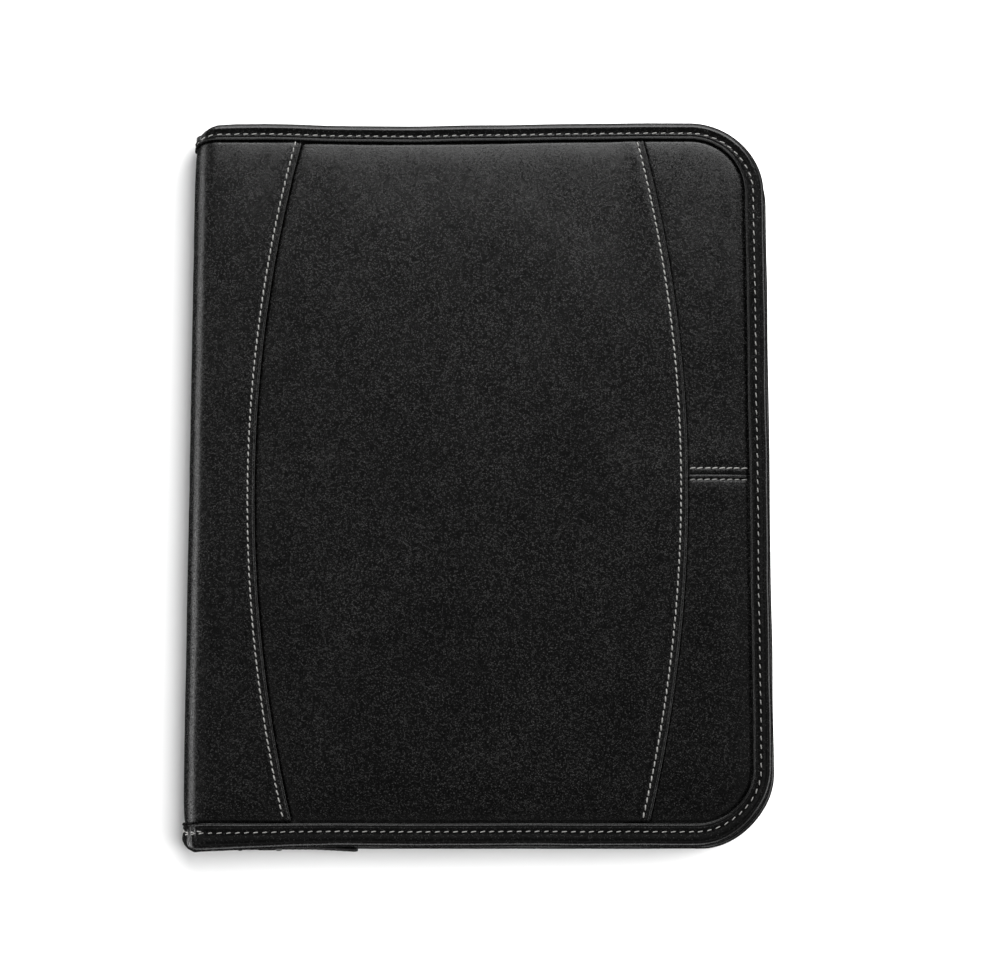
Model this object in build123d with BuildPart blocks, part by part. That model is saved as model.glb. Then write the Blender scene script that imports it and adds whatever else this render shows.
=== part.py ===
"""Zip-round writing portfolio for a letter-size pad, lying closed on its back cover.

Frame: +X from the spine to the open edge, +Y to the head of the case, +Z from the back cover up to the
front cover. The origin is in the middle of the flat face that the case rests on. All sizes are in mm.

Each cover is a sandwich held at its edge by a U-shaped leather binding. Counted inwards from the outside
face (its "depth") it is leather, foam, board and lining. The spine is the same sandwich bent into a C and
meets each cover at a fold. A zip between the two rims closes the head, the open edge and the foot.
"""

import os
from math import sqrt

from build123d import *

# ---- driving dimensions: the case ---------------------------------------------------------------------
HALF_HEIGHT = 168.0
SPINE_X = -133.5  # outermost plane of the spine
BACK_EDGE = 133.5  # open edge of the back cover
FRONT_EDGE = 131.0  # open edge of the front cover, which closes a little short of the back cover
THICK = 25.0
CORNER_R = 34.0  # plan radius of the corners at the open edge
SPINE_R = 11.0  # outside radius of the two folds
COVER_LEFT = SPINE_X + SPINE_R + 1.0  # the covers start here, clear of the turning spine

LEATHER = 1.0
FOAM_DEPTH = 1.0
BOARD_DEPTH = 2.0
LINING_DEPTH = 4.0
INSIDE_DEPTH = 4.6
GAP = 0.1  # sideways, between neighbouring pieces of one body

BINDING_WIDTH = 8.0
BINDING_WALL = 1.0
RIM = INSIDE_DEPTH + BINDING_WALL  # thickness of a cover's bound edge
RIM_ROUND = 2.0
FACE_INSET = BINDING_WIDTH + GAP  # where a panel's raised face ends beside the binding
TUCK_OUT = BINDING_WALL + GAP  # where everything held inside the binding ends
TUCK_IN = FACE_INSET + LEATHER  # inner end of a panel's lip, which runs under the binding
POCKET_INSET = 9.0  # inner pockets stay this far in from the edge

# ---- driving dimensions: the front's panels -----------------------------------------------------------
SEAM_HALF_SPAN = 158.4
LEFT_SEAM_X = -101.7
LEFT_SEAM_BOW = 18.0  # both seams bow away from the middle of the front
RIGHT_SEAM_X = 95.1
RIGHT_SEAM_BOW = 18.9
LAP = 5.0  # how far a panel runs under the folded edge of the next
PEN_MOUTH_Y = -0.6
PEN_LINING = 0.6
PEN_LINING_RISE = 10.0

# ---- driving dimensions: the zip ----------------------------------------------------------------------
TAPE = 0.6
TAPE_INSET = 4.4  # outer face of both tapes, in from the back cover's edge
TAPE_HEM = 3.4
TAPE_LEFT = COVER_LEFT + 1.5
ZIP_MID = THICK / 2
NECK_GAP = 2.0  # between the two chains
CHAIN_WIDTH = 2.6
CHAIN_THICK = 2.2
CHAIN_INSET = TAPE_INSET + TAPE / 2 - CHAIN_THICK / 2
BACK_CHAIN_BASE = ZIP_MID - NECK_GAP / 2 - CHAIN_WIDTH
FRONT_CHAIN_BASE = ZIP_MID + NECK_GAP / 2

SLIDER_X = -108.0
SLIDER_LENGTH = 13.0
SLIDER_HEIGHT = 10.0
SLIDER_PLATE = 1.3
CLEAR = 0.3
SLIDER_LIP = 0.9
NECK_LENGTH = 3.0
PIVOT_OUT = 1.9  # pull's pin, out from the slider's face
PIN_R = 0.6
EYE_R = 1.6
LINK_LENGTH = 16.0
PULL_THICK = 1.4
PULL_HEIGHT = 7.0
STRAP_START = 10.0
STRAP_END = 53.0

# ---- driving dimensions: the inside -------------------------------------------------------------------
PAD_WIDTH = 215.9  # letter pad, 8.5 x 11.75 inch
PAD_LENGTH = 298.4
PAD_FOOT = -156.0
CARD = 0.6
SHEETS = 4.8
POCKET_WALL = 0.8
POCKET_HEM = 2.0
PAD_PLAY = 0.5
PAD_POCKET_TOP = 20.0

PEN_LOOP_X = -114.0
PEN_LOOP_Y = 55.0
PEN_LOOP_R = 5.0
PEN_LOOP_WIDTH = 20.0
ELASTIC = 0.9

DOCUMENT_TOP = 100.0
DOCUMENT_LEFT = -112.0
CARD_POCKET_WIDTH = 104.0
CARD_POCKET_FOOT = -45.0
CARD_POCKET_TOPS = [60.0, 44.0, 28.0]
CARD_POCKET_WALL = 0.7
CARD_POCKET_X = 20.0

# ---- values that follow -------------------------------------------------------------------------------
FOOT_TAPE_Y = -HALF_HEIGHT + TAPE_INSET + TAPE / 2  # middle of the zip at the foot
SLIDER_MID = CHAIN_THICK / 2 + CLEAR  # slider plates' inner faces, from the middle of the zip
SLIDER_FACE_Y = FOOT_TAPE_Y - SLIDER_MID - SLIDER_PLATE
PIVOT_Y = SLIDER_FACE_Y - PIVOT_OUT
SLIDER_LEFT = SLIDER_X - SLIDER_LENGTH / 2
SLIDER_RIGHT = SLIDER_X + SLIDER_LENGTH / 2
PANEL_BASE = INSIDE_DEPTH + CARD + 0.2
SHEETS_BASE = PANEL_BASE + POCKET_WALL + 0.1
DOCUMENT_DEPTH = INSIDE_DEPTH + 0.5


# ---- plans, drawn on the XY plane ---------------------------------------------------------------------
def cover_plan(edge, inset, left=COVER_LEFT):
    """A cover's plan drawn in from its rim: square at the spine, rounded at the open edge."""
    y = HALF_HEIGHT - inset
    x = edge - inset
    with BuildSketch() as plan:
        with BuildLine():
            FilletPolyline((left, -y), (x, -y), (x, y), (left, y), radius=CORNER_R - inset)
            Line((left, y), (left, -y))
        make_face()
    return plan.sketch


def rim_band(edge, outer, inner, left=COVER_LEFT):
    """The band of a cover's plan between two insets, open at the spine."""
    with BuildSketch() as band:
        add(cover_plan(edge, outer, left))
        add(cover_plan(edge, inner, left - 1), mode=Mode.SUBTRACT)
    return band.sketch


def box_plan(x1, x2, y1, y2):
    """A rectangle given by its sides."""
    with BuildSketch() as plan:
        with Locations(((x1 + x2) / 2, (y1 + y2) / 2)):
            Rectangle(x2 - x1, y2 - y1)
    return plan.sketch


def seam_ends(x, bow):
    """Where a bowed seam through (x, 0) leaves the cover. A positive bow bends its ends towards +X."""
    radius = (SEAM_HALF_SPAN**2 + bow**2) / (2 * abs(bow))
    y = HALF_HEIGHT + 2
    shift = radius - sqrt(radius**2 - y**2)
    return x + (shift if bow > 0 else -shift), y


def right_of(x, bow):
    """Everything from a bowed seam to the open edge."""
    end, y = seam_ends(x, bow)
    far = BACK_EDGE + 20
    with BuildSketch() as area:
        with BuildLine():
            ThreePointArc((end, -y), (x, 0), (end, y))
            Polyline((end, y), (far, y), (far, -y), (end, -y))
        make_face()
    return area.sketch


def left_of(x, bow):
    """Everything from the spine to a bowed seam."""
    end, y = seam_ends(x, bow)
    far = SPINE_X - 20
    with BuildSketch() as area:
        with BuildLine():
            ThreePointArc((end, -y), (x, 0), (end, y))
            Polyline((end, y), (far, y), (far, -y), (end, -y))
        make_face()
    return area.sketch


def front_area(inset, *limits):
    """The front cover's plan at an inset, kept inside each of the given areas."""
    with BuildSketch() as area:
        add(cover_plan(FRONT_EDGE, inset))
        for limit in limits:
            add(limit, mode=Mode.INTERSECT)
    return area.sketch


def front_lip(*limits):
    """The front cover's lip under the binding, kept inside each of the given areas."""
    with BuildSketch() as area:
        add(rim_band(FRONT_EDGE, TUCK_OUT, TUCK_IN))
        for limit in limits:
            add(limit, mode=Mode.INTERSECT)
    return area.sketch


def inside_front(depth):
    """The plane at a depth in the front cover."""
    return Plane.XY.offset(THICK - depth)


WIDE_Y = HALF_HEIGHT + 5
ABOVE_MOUTH = box_plan(-200, 200, PEN_MOUTH_Y, WIDE_Y)
BELOW_MOUTH = box_plan(-200, 200, -WIDE_Y, PEN_MOUTH_Y - GAP)

# ---- back cover ---------------------------------------------------------------------------------------
with BuildPart() as back_panel:
    with BuildSketch():
        add(cover_plan(BACK_EDGE, FACE_INSET))
    extrude(amount=LEATHER)
    with BuildSketch(Plane.XY.offset(LEATHER)):
        add(rim_band(BACK_EDGE, TUCK_OUT, TUCK_IN))
    extrude(amount=LEATHER)
back_panel.part.label = "back_panel"

with BuildPart() as back_foam:
    with BuildSketch(Plane.XY.offset(FOAM_DEPTH)):
        add(cover_plan(BACK_EDGE, TUCK_IN + GAP))
    extrude(amount=BOARD_DEPTH - FOAM_DEPTH)
back_foam.part.label = "back_foam"

with BuildPart() as back_board:
    with BuildSketch(Plane.XY.offset(BOARD_DEPTH)):
        add(cover_plan(BACK_EDGE, TUCK_OUT))
    extrude(amount=LINING_DEPTH - BOARD_DEPTH)
back_board.part.label = "back_board"

with BuildPart() as back_lining:
    with BuildSketch(Plane.XY.offset(LINING_DEPTH)):
        add(cover_plan(BACK_EDGE, TUCK_OUT))
    extrude(amount=INSIDE_DEPTH - LINING_DEPTH)
back_lining.part.label = "back_lining"

with BuildPart() as back_binding:
    with BuildSketch():
        add(cover_plan(BACK_EDGE, 0))
    extrude(amount=RIM)
    rim_edges = back_binding.edges().filter_by(Plane.XY)
    fillet(rim_edges.filter_by(lambda e: e.center().X > COVER_LEFT + 1), RIM_ROUND)
    with BuildSketch():
        add(cover_plan(BACK_EDGE, BINDING_WIDTH, COVER_LEFT - 1))
    extrude(amount=RIM, mode=Mode.SUBTRACT)
    with BuildSketch(Plane.XY.offset(BINDING_WALL)):
        add(cover_plan(BACK_EDGE, BINDING_WALL, COVER_LEFT - 1))
    extrude(amount=RIM - 2 * BINDING_WALL, mode=Mode.SUBTRACT)
back_binding.part.label = "back_binding"

# ---- spine: every layer is a C-shaped band pulled along Y ---------------------------------------------


def spine_band(depth_out, depth_in):
    """The C-shaped section between two depths, drawn on the XZ plane."""
    fold_x = SPINE_X + SPINE_R
    with BuildSketch() as band:
        with BuildLine():
            for depth in (depth_out, depth_in):
                radius = SPINE_R - depth
                for fold_z, bend in ((SPINE_R, -1), (THICK - SPINE_R, 1)):
                    end = (fold_x, fold_z + bend * radius)
                    middle = (fold_x - radius / sqrt(2), fold_z + bend * radius / sqrt(2))
                    ThreePointArc((SPINE_X + depth, fold_z), middle, end)
                Line((SPINE_X + depth, SPINE_R), (SPINE_X + depth, THICK - SPINE_R))
            Line((fold_x, depth_out), (fold_x, depth_in))
            Line((fold_x, THICK - depth_out), (fold_x, THICK - depth_in))
        make_face()
    return band.sketch


with BuildPart() as spine_leather:
    with BuildSketch(Plane.XZ):
        add(spine_band(0, LEATHER))
    extrude(amount=HALF_HEIGHT - FACE_INSET, both=True)
    for side in (-1, 1):
        with BuildSketch(Plane.XZ.offset(side * (HALF_HEIGHT - TUCK_IN))):
            add(spine_band(LEATHER, BOARD_DEPTH))
        extrude(amount=side * (TUCK_IN - TUCK_OUT))
spine_leather.part.label = "spine_leather"

with BuildPart() as spine_foam:
    with BuildSketch(Plane.XZ):
        add(spine_band(LEATHER + GAP, BOARD_DEPTH - GAP))
    extrude(amount=HALF_HEIGHT - TUCK_IN - GAP, both=True)
spine_foam.part.label = "spine_foam"

with BuildPart() as spine_stiffener:
    with BuildSketch(Plane.XZ):
        add(spine_band(BOARD_DEPTH + GAP, LINING_DEPTH - GAP))
    extrude(amount=HALF_HEIGHT - TUCK_OUT, both=True)
spine_stiffener.part.label = "spine_stiffener"

with BuildPart() as spine_lining:
    with BuildSketch(Plane.XZ):
        add(spine_band(LINING_DEPTH, INSIDE_DEPTH - GAP))
    extrude(amount=HALF_HEIGHT - TUCK_OUT, both=True)
spine_lining.part.label = "spine_lining"

with BuildPart() as spine_binding_head:
    with BuildSketch(Plane.XZ.offset(-HALF_HEIGHT)):
        add(spine_band(0, RIM))
    extrude(amount=BINDING_WIDTH)
    with BuildSketch(Plane.XZ.offset(-HALF_HEIGHT + BINDING_WALL)):
        add(spine_band(BINDING_WALL, INSIDE_DEPTH))
    extrude(amount=BINDING_WIDTH, mode=Mode.SUBTRACT)
spine_binding_head.part.label = "spine_binding_head"

with BuildPart() as spine_binding_foot:
    add(spine_binding_head.part)
    mirror(about=Plane.XZ)
    split(bisect_by=Plane.XZ)
spine_binding_foot.part.label = "spine_binding_foot"

# ---- front cover: outside panels, each running under the folded edge of the one before it -------------
LEFT_FOLD = left_of(LEFT_SEAM_X, LEFT_SEAM_BOW)
RIGHT_FOLD = left_of(RIGHT_SEAM_X, -RIGHT_SEAM_BOW)
PAST_LEFT_FOLD = right_of(LEFT_SEAM_X + GAP, LEFT_SEAM_BOW)
PAST_RIGHT_FOLD = right_of(RIGHT_SEAM_X + GAP, -RIGHT_SEAM_BOW)
LEFT_LAP = right_of(LEFT_SEAM_X - LAP, LEFT_SEAM_BOW)
RIGHT_LAP = right_of(RIGHT_SEAM_X - LAP, -RIGHT_SEAM_BOW)
BEFORE_LEFT_LAP = left_of(LEFT_SEAM_X - LAP - GAP, LEFT_SEAM_BOW)
BEFORE_RIGHT_LAP = left_of(RIGHT_SEAM_X - LAP - GAP, -RIGHT_SEAM_BOW)

with BuildPart() as front_spine_side_panel:
    with BuildSketch(inside_front(LEATHER)):
        add(front_area(FACE_INSET, LEFT_FOLD))
    extrude(amount=LEATHER)
    with BuildSketch(inside_front(BOARD_DEPTH)):
        add(front_area(TUCK_OUT, BEFORE_LEFT_LAP))
    extrude(amount=BOARD_DEPTH - LEATHER)
front_spine_side_panel.part.label = "front_spine_side_panel"

with BuildPart() as front_center_panel:
    with BuildSketch(inside_front(LEATHER)):
        add(front_area(FACE_INSET, PAST_LEFT_FOLD, RIGHT_FOLD))
    extrude(amount=LEATHER)
    with BuildSketch(inside_front(BOARD_DEPTH)):
        add(front_lip(LEFT_LAP, BEFORE_RIGHT_LAP))
        add(front_area(TUCK_IN, LEFT_LAP, left_of(LEFT_SEAM_X + LEATHER, LEFT_SEAM_BOW)))
    extrude(amount=BOARD_DEPTH - LEATHER)
front_center_panel.part.label = "front_center_panel"

with BuildPart() as front_foam:
    with BuildSketch(inside_front(BOARD_DEPTH)):
        add(front_area(TUCK_IN + GAP, right_of(LEFT_SEAM_X + LEATHER + GAP, LEFT_SEAM_BOW), BEFORE_RIGHT_LAP))
    extrude(amount=BOARD_DEPTH - FOAM_DEPTH)
front_foam.part.label = "front_foam"

with BuildPart() as front_upper_side_panel:
    with BuildSketch(inside_front(LEATHER)):
        add(front_area(FACE_INSET, PAST_RIGHT_FOLD, ABOVE_MOUTH))
    extrude(amount=LEATHER)
    with BuildSketch(inside_front(BOARD_DEPTH)):
        high = box_plan(-200, 200, PEN_MOUTH_Y + PEN_LINING_RISE + GAP, WIDE_Y)
        add(front_area(TUCK_OUT, RIGHT_LAP, high))
    extrude(amount=BOARD_DEPTH - LEATHER)
front_upper_side_panel.part.label = "front_upper_side_panel"

with BuildPart() as front_pen_pocket_panel:
    with BuildSketch(inside_front(LEATHER)):
        add(front_area(FACE_INSET, PAST_RIGHT_FOLD, BELOW_MOUTH))
    extrude(amount=LEATHER)
    with BuildSketch(inside_front(BOARD_DEPTH - PEN_LINING)):
        add(front_lip(PAST_RIGHT_FOLD, BELOW_MOUTH))
    extrude(amount=BOARD_DEPTH - PEN_LINING - LEATHER)
front_pen_pocket_panel.part.label = "front_pen_pocket_panel"

with BuildPart() as front_pen_pocket_lining:
    with BuildSketch(inside_front(BOARD_DEPTH)):
        low = box_plan(-200, 200, -WIDE_Y, PEN_MOUTH_Y + PEN_LINING_RISE)
        add(front_area(TUCK_OUT, RIGHT_LAP, low))
    extrude(amount=PEN_LINING)
front_pen_pocket_lining.part.label = "front_pen_pocket_lining"

# ---- front cover: core, lining, binding ---------------------------------------------------------------
with BuildPart() as front_board:
    with BuildSketch(inside_front(LINING_DEPTH)):
        add(front_area(TUCK_OUT))
    extrude(amount=LINING_DEPTH - BOARD_DEPTH)
front_board.part.label = "front_board"

with BuildPart() as front_lining:
    with BuildSketch(inside_front(INSIDE_DEPTH)):
        add(front_area(TUCK_OUT))
    extrude(amount=INSIDE_DEPTH - LINING_DEPTH)
front_lining.part.label = "front_lining"

with BuildPart() as front_binding:
    with BuildSketch(inside_front(RIM)):
        add(cover_plan(FRONT_EDGE, 0))
    extrude(amount=RIM)
    rim_edges = front_binding.edges().filter_by(Plane.XY)
    fillet(rim_edges.filter_by(lambda e: e.center().X > COVER_LEFT + 1), RIM_ROUND)
    with BuildSketch(inside_front(RIM)):
        add(cover_plan(FRONT_EDGE, BINDING_WIDTH, COVER_LEFT - 1))
    extrude(amount=RIM, mode=Mode.SUBTRACT)
    with BuildSketch(inside_front(INSIDE_DEPTH)):
        add(cover_plan(FRONT_EDGE, BINDING_WALL, COVER_LEFT - 1))
    extrude(amount=INSIDE_DEPTH - BINDING_WALL, mode=Mode.SUBTRACT)
front_binding.part.label = "front_binding"

# ---- front cover: pockets inside ----------------------------------------------------------------------
DOCUMENT_LIMIT = box_plan(DOCUMENT_LEFT, 200, -WIDE_Y, DOCUMENT_TOP)
DOCUMENT_ROOM = box_plan(DOCUMENT_LEFT + POCKET_HEM, 200, -WIDE_Y, DOCUMENT_TOP + 1)

with BuildPart() as document_pocket:
    with BuildSketch(inside_front(DOCUMENT_DEPTH + POCKET_WALL)):
        add(front_area(POCKET_INSET, DOCUMENT_LIMIT))
    extrude(amount=POCKET_WALL)
    with BuildSketch(inside_front(DOCUMENT_DEPTH)):
        add(front_area(POCKET_INSET, DOCUMENT_LIMIT))
        add(front_area(POCKET_INSET + POCKET_HEM, DOCUMENT_ROOM), mode=Mode.SUBTRACT)
    extrude(amount=DOCUMENT_DEPTH - INSIDE_DEPTH)
document_pocket.part.label = "document_pocket"

card_pockets = []
for index, top in enumerate(CARD_POCKET_TOPS):
    with BuildPart() as card_pocket:
        depth = DOCUMENT_DEPTH + POCKET_WALL + index * CARD_POCKET_WALL
        with BuildSketch(inside_front(depth + CARD_POCKET_WALL)):
            half = CARD_POCKET_WIDTH / 2
            add(box_plan(CARD_POCKET_X - half, CARD_POCKET_X + half, CARD_POCKET_FOOT, top))
            fillet(vertices().group_by(Axis.Y)[0], 6)
        extrude(amount=CARD_POCKET_WALL)
    card_pocket.part.label = f"card_pocket_{index + 1}"
    card_pockets.append(card_pocket.part)


# ---- zip ----------------------------------------------------------------------------------------------
def zip_band(inset, thickness):
    """The plan of a strip standing on edge along the zip."""
    return rim_band(BACK_EDGE, inset, inset + thickness, TAPE_LEFT)


FREE_END = box_plan(-200, SLIDER_RIGHT + 0.6, -WIDE_Y, 0)  # the front chain starts past the parked slider

with BuildPart() as back_zip_tape:
    with BuildSketch(Plane.XY.offset(RIM)):
        add(zip_band(TAPE_INSET, TAPE + TAPE_HEM))
    extrude(amount=TAPE)
    with BuildSketch(Plane.XY.offset(RIM)):
        add(zip_band(TAPE_INSET, TAPE))
    extrude(amount=BACK_CHAIN_BASE - RIM)
back_zip_tape.part.label = "back_zip_tape"

with BuildPart() as back_zip_chain:
    with BuildSketch(Plane.XY.offset(BACK_CHAIN_BASE)):
        add(zip_band(CHAIN_INSET, CHAIN_THICK))
    extrude(amount=CHAIN_WIDTH)
back_zip_chain.part.label = "back_zip_chain"

with BuildPart() as front_zip_tape:
    with BuildSketch(inside_front(RIM + TAPE)):
        add(zip_band(TAPE_INSET, TAPE + TAPE_HEM))
    extrude(amount=TAPE)
    with BuildSketch(Plane.XY.offset(FRONT_CHAIN_BASE + CHAIN_WIDTH)):
        add(zip_band(TAPE_INSET, TAPE))
    extrude(amount=THICK - RIM - FRONT_CHAIN_BASE - CHAIN_WIDTH)
    with BuildSketch(Plane.XY.offset(FRONT_CHAIN_BASE)):
        add(FREE_END)
    extrude(amount=ZIP_MID + SLIDER_HEIGHT / 2 + CLEAR - FRONT_CHAIN_BASE, mode=Mode.SUBTRACT)
front_zip_tape.part.label = "front_zip_tape"

with BuildPart() as front_zip_chain:
    with BuildSketch(Plane.XY.offset(FRONT_CHAIN_BASE)):
        add(zip_band(CHAIN_INSET, CHAIN_THICK))
        add(FREE_END, mode=Mode.SUBTRACT)
    extrude(amount=CHAIN_WIDTH)
front_zip_chain.part.label = "front_zip_chain"


def zip_stop(y):
    """A metal clip closed over the end of the back chain."""
    with BuildPart() as stop:
        with Locations((TAPE_LEFT + 1.4, y, BACK_CHAIN_BASE + 1.7)):
            Box(2.4, CHAIN_THICK + 1.0, CHAIN_WIDTH + 0.6)
        with Locations((TAPE_LEFT + 1.4, y, BACK_CHAIN_BASE + CHAIN_WIDTH / 2 - 1)):
            Box(3, CHAIN_THICK, CHAIN_WIDTH + 2, mode=Mode.SUBTRACT)
    return stop.part


zip_stop_head = zip_stop(-FOOT_TAPE_Y)
zip_stop_head.label = "zip_stop_head"
zip_stop_foot = zip_stop(FOOT_TAPE_Y)
zip_stop_foot.label = "zip_stop_foot"

# ---- slider and pull ----------------------------------------------------------------------------------
with BuildPart() as slider_body:
    for side in (-1, 1):
        with Locations((SLIDER_X, FOOT_TAPE_Y + side * (SLIDER_MID + SLIDER_PLATE / 2), ZIP_MID)):
            Box(SLIDER_LENGTH, SLIDER_PLATE, SLIDER_HEIGHT)
    fillet(slider_body.edges().filter_by(Axis.Y), 2.0)
    for side in (-1, 1):
        for end in (-1, 1):
            lip = SLIDER_MID - TAPE / 2 - CLEAR
            y = FOOT_TAPE_Y + side * (SLIDER_MID - lip / 2 + 0.1)
            with Locations((SLIDER_X, y, ZIP_MID + end * (SLIDER_HEIGHT - SLIDER_LIP) / 2)):
                Box(SLIDER_LENGTH - 4.4, lip + 0.2, SLIDER_LIP)
    with Locations((SLIDER_LEFT + NECK_LENGTH / 2, FOOT_TAPE_Y, ZIP_MID)):
        Box(NECK_LENGTH, 2 * SLIDER_MID + 0.4, NECK_GAP - 2 * CLEAR)
slider_body.part.label = "slider_body"

with BuildPart() as slider_bridge:
    lug = 1.0
    lug_mid = PULL_HEIGHT / 2 + CLEAR + lug / 2
    for side in (-1, 1):
        with BuildSketch(Plane.XY.offset(ZIP_MID + side * lug_mid - lug / 2)):
            with Locations((SLIDER_X, PIVOT_Y)):
                Circle(EYE_R - 0.4)
            with Locations((SLIDER_X, (PIVOT_Y + SLIDER_FACE_Y) / 2)):
                Rectangle(2 * EYE_R - 0.8, SLIDER_FACE_Y - PIVOT_Y)
        extrude(amount=lug)
    with BuildSketch(Plane.XY.offset(ZIP_MID - lug_mid)):
        with Locations((SLIDER_X, PIVOT_Y)):
            Circle(PIN_R)
    extrude(amount=2 * lug_mid)
slider_bridge.part.label = "slider_bridge"

with BuildPart() as pull_link:
    with BuildSketch(Plane.XY.offset(ZIP_MID - PULL_HEIGHT / 2)):
        with Locations((SLIDER_X, PIVOT_Y)):
            Circle(EYE_R)
        with Locations((SLIDER_X + LINK_LENGTH / 2, PIVOT_Y)):
            Rectangle(LINK_LENGTH, PULL_THICK)
        with Locations((SLIDER_X, PIVOT_Y)):
            Circle(PIN_R + CLEAR, mode=Mode.SUBTRACT)
    extrude(amount=PULL_HEIGHT)
    with Locations((SLIDER_X + 5.5, PIVOT_Y, ZIP_MID)):
        Box(5, 4, PULL_HEIGHT - 3.2, mode=Mode.SUBTRACT)
pull_link.part.label = "pull_link"

with BuildPart() as pull_strap:
    with BuildSketch(Plane.XZ.offset(-PIVOT_Y + PULL_THICK / 2)):
        with Locations((SLIDER_X + (STRAP_START + STRAP_END) / 2, ZIP_MID)):
            Rectangle(STRAP_END - STRAP_START, PULL_HEIGHT)
        fillet(vertices(), 1.5)
    extrude(amount=PULL_THICK)
pull_strap.part.label = "pull_strap"

with BuildPart() as pull_rivet:
    with BuildSketch(Plane.XZ.offset(-PIVOT_Y + 1.5 * PULL_THICK)):
        with Locations((SLIDER_X + (STRAP_START + LINK_LENGTH) / 2, ZIP_MID)):
            Circle(1.7)
    extrude(amount=0.6)
pull_rivet.part.label = "pull_rivet"

# ---- inside the back cover ----------------------------------------------------------------------------
half_pad = PAD_WIDTH / 2
with BuildPart() as pad_pocket:
    room = half_pad + PAD_PLAY
    outside = box_plan(-room - POCKET_HEM, room + POCKET_HEM, -WIDE_Y, PAD_POCKET_TOP)
    with BuildSketch(Plane.XY.offset(INSIDE_DEPTH)):
        add(cover_plan(BACK_EDGE, POCKET_INSET))
        add(outside, mode=Mode.INTERSECT)
    extrude(amount=PANEL_BASE + POCKET_WALL - INSIDE_DEPTH)
    with BuildSketch(Plane.XY.offset(INSIDE_DEPTH)):
        add(box_plan(-room, room, PAD_FOOT - PAD_PLAY, PAD_POCKET_TOP + 1))
    extrude(amount=PANEL_BASE - INSIDE_DEPTH, mode=Mode.SUBTRACT)
pad_pocket.part.label = "pad_pocket"

with BuildPart() as pen_loop:
    with BuildSketch(Plane.XZ.offset(-PEN_LOOP_Y)):
        with Locations((PEN_LOOP_X, INSIDE_DEPTH + PEN_LOOP_R)):
            Circle(PEN_LOOP_R)
            Circle(PEN_LOOP_R - ELASTIC, mode=Mode.SUBTRACT)
        with Locations((PEN_LOOP_X, INSIDE_DEPTH + ELASTIC / 2)):
            Rectangle(PEN_LOOP_R, ELASTIC)
    extrude(amount=PEN_LOOP_WIDTH / 2, both=True)
pen_loop.part.label = "pen_loop"

# ---- writing pad --------------------------------------------------------------------------------------
PAD_HEAD = PAD_FOOT + PAD_LENGTH
with BuildPart() as pad_backing:
    with BuildSketch(Plane.XY.offset(INSIDE_DEPTH + 0.1)):
        add(box_plan(-half_pad, half_pad, PAD_FOOT, PAD_HEAD))
    extrude(amount=CARD)
pad_backing.part.label = "pad_backing"

with BuildPart() as pad_sheets:
    with BuildSketch(Plane.XY.offset(SHEETS_BASE)):
        add(box_plan(-half_pad, half_pad, PAD_FOOT, PAD_HEAD))
    extrude(amount=SHEETS)
pad_sheets.part.label = "pad_sheets"

with BuildPart() as pad_head_binding:
    with BuildSketch(Plane.XY.offset(INSIDE_DEPTH + 0.1)):
        add(box_plan(-half_pad, half_pad, PAD_HEAD, PAD_HEAD + 0.5))
    extrude(amount=SHEETS_BASE + SHEETS + 0.4 - INSIDE_DEPTH - 0.1)
    with BuildSketch(Plane.XY.offset(SHEETS_BASE + SHEETS)):
        add(box_plan(-half_pad, half_pad, PAD_HEAD - 14, PAD_HEAD + 0.5))
    extrude(amount=0.4)
    with BuildSketch(Plane.XY.offset(INSIDE_DEPTH + 0.1 + CARD)):
        add(box_plan(-half_pad, half_pad, PAD_HEAD - 3, PAD_HEAD + 0.5))
    extrude(amount=SHEETS_BASE - INSIDE_DEPTH - 0.1 - CARD)
pad_head_binding.part.label = "pad_head_binding"

# ---- write one STEP file per piece --------------------------------------------------------------------
PIECES = [
    back_panel.part, back_foam.part, back_board.part, back_lining.part, back_binding.part,
    back_zip_tape.part, back_zip_chain.part, zip_stop_head, zip_stop_foot, pad_pocket.part, pen_loop.part,
    spine_leather.part, spine_foam.part, spine_stiffener.part, spine_lining.part,
    spine_binding_head.part, spine_binding_foot.part,
    front_spine_side_panel.part, front_center_panel.part, front_upper_side_panel.part,
    front_pen_pocket_panel.part, front_pen_pocket_lining.part, front_foam.part, front_board.part,
    front_lining.part, front_binding.part, document_pocket.part, *card_pockets,
    front_zip_tape.part, front_zip_chain.part,
    slider_body.part, slider_bridge.part, pull_link.part, pull_strap.part, pull_rivet.part,
    pad_backing.part, pad_sheets.part, pad_head_binding.part,
]

os.makedirs("parts", exist_ok=True)
for piece in PIECES:
    export_step(piece, f"parts/{piece.label}.step")
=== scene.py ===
"""Looks for the zip-round writing portfolio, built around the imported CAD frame.

Lengths in this file are millimetres in the CAD's own frame; they become metres where a mesh is made.
A point on a cover or the spine is given by its place across the case (`across`, which runs on round the
fold and down the spine), its height on the page (`y`) and its depth below the outside face (`depth`).
"""

import math

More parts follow.
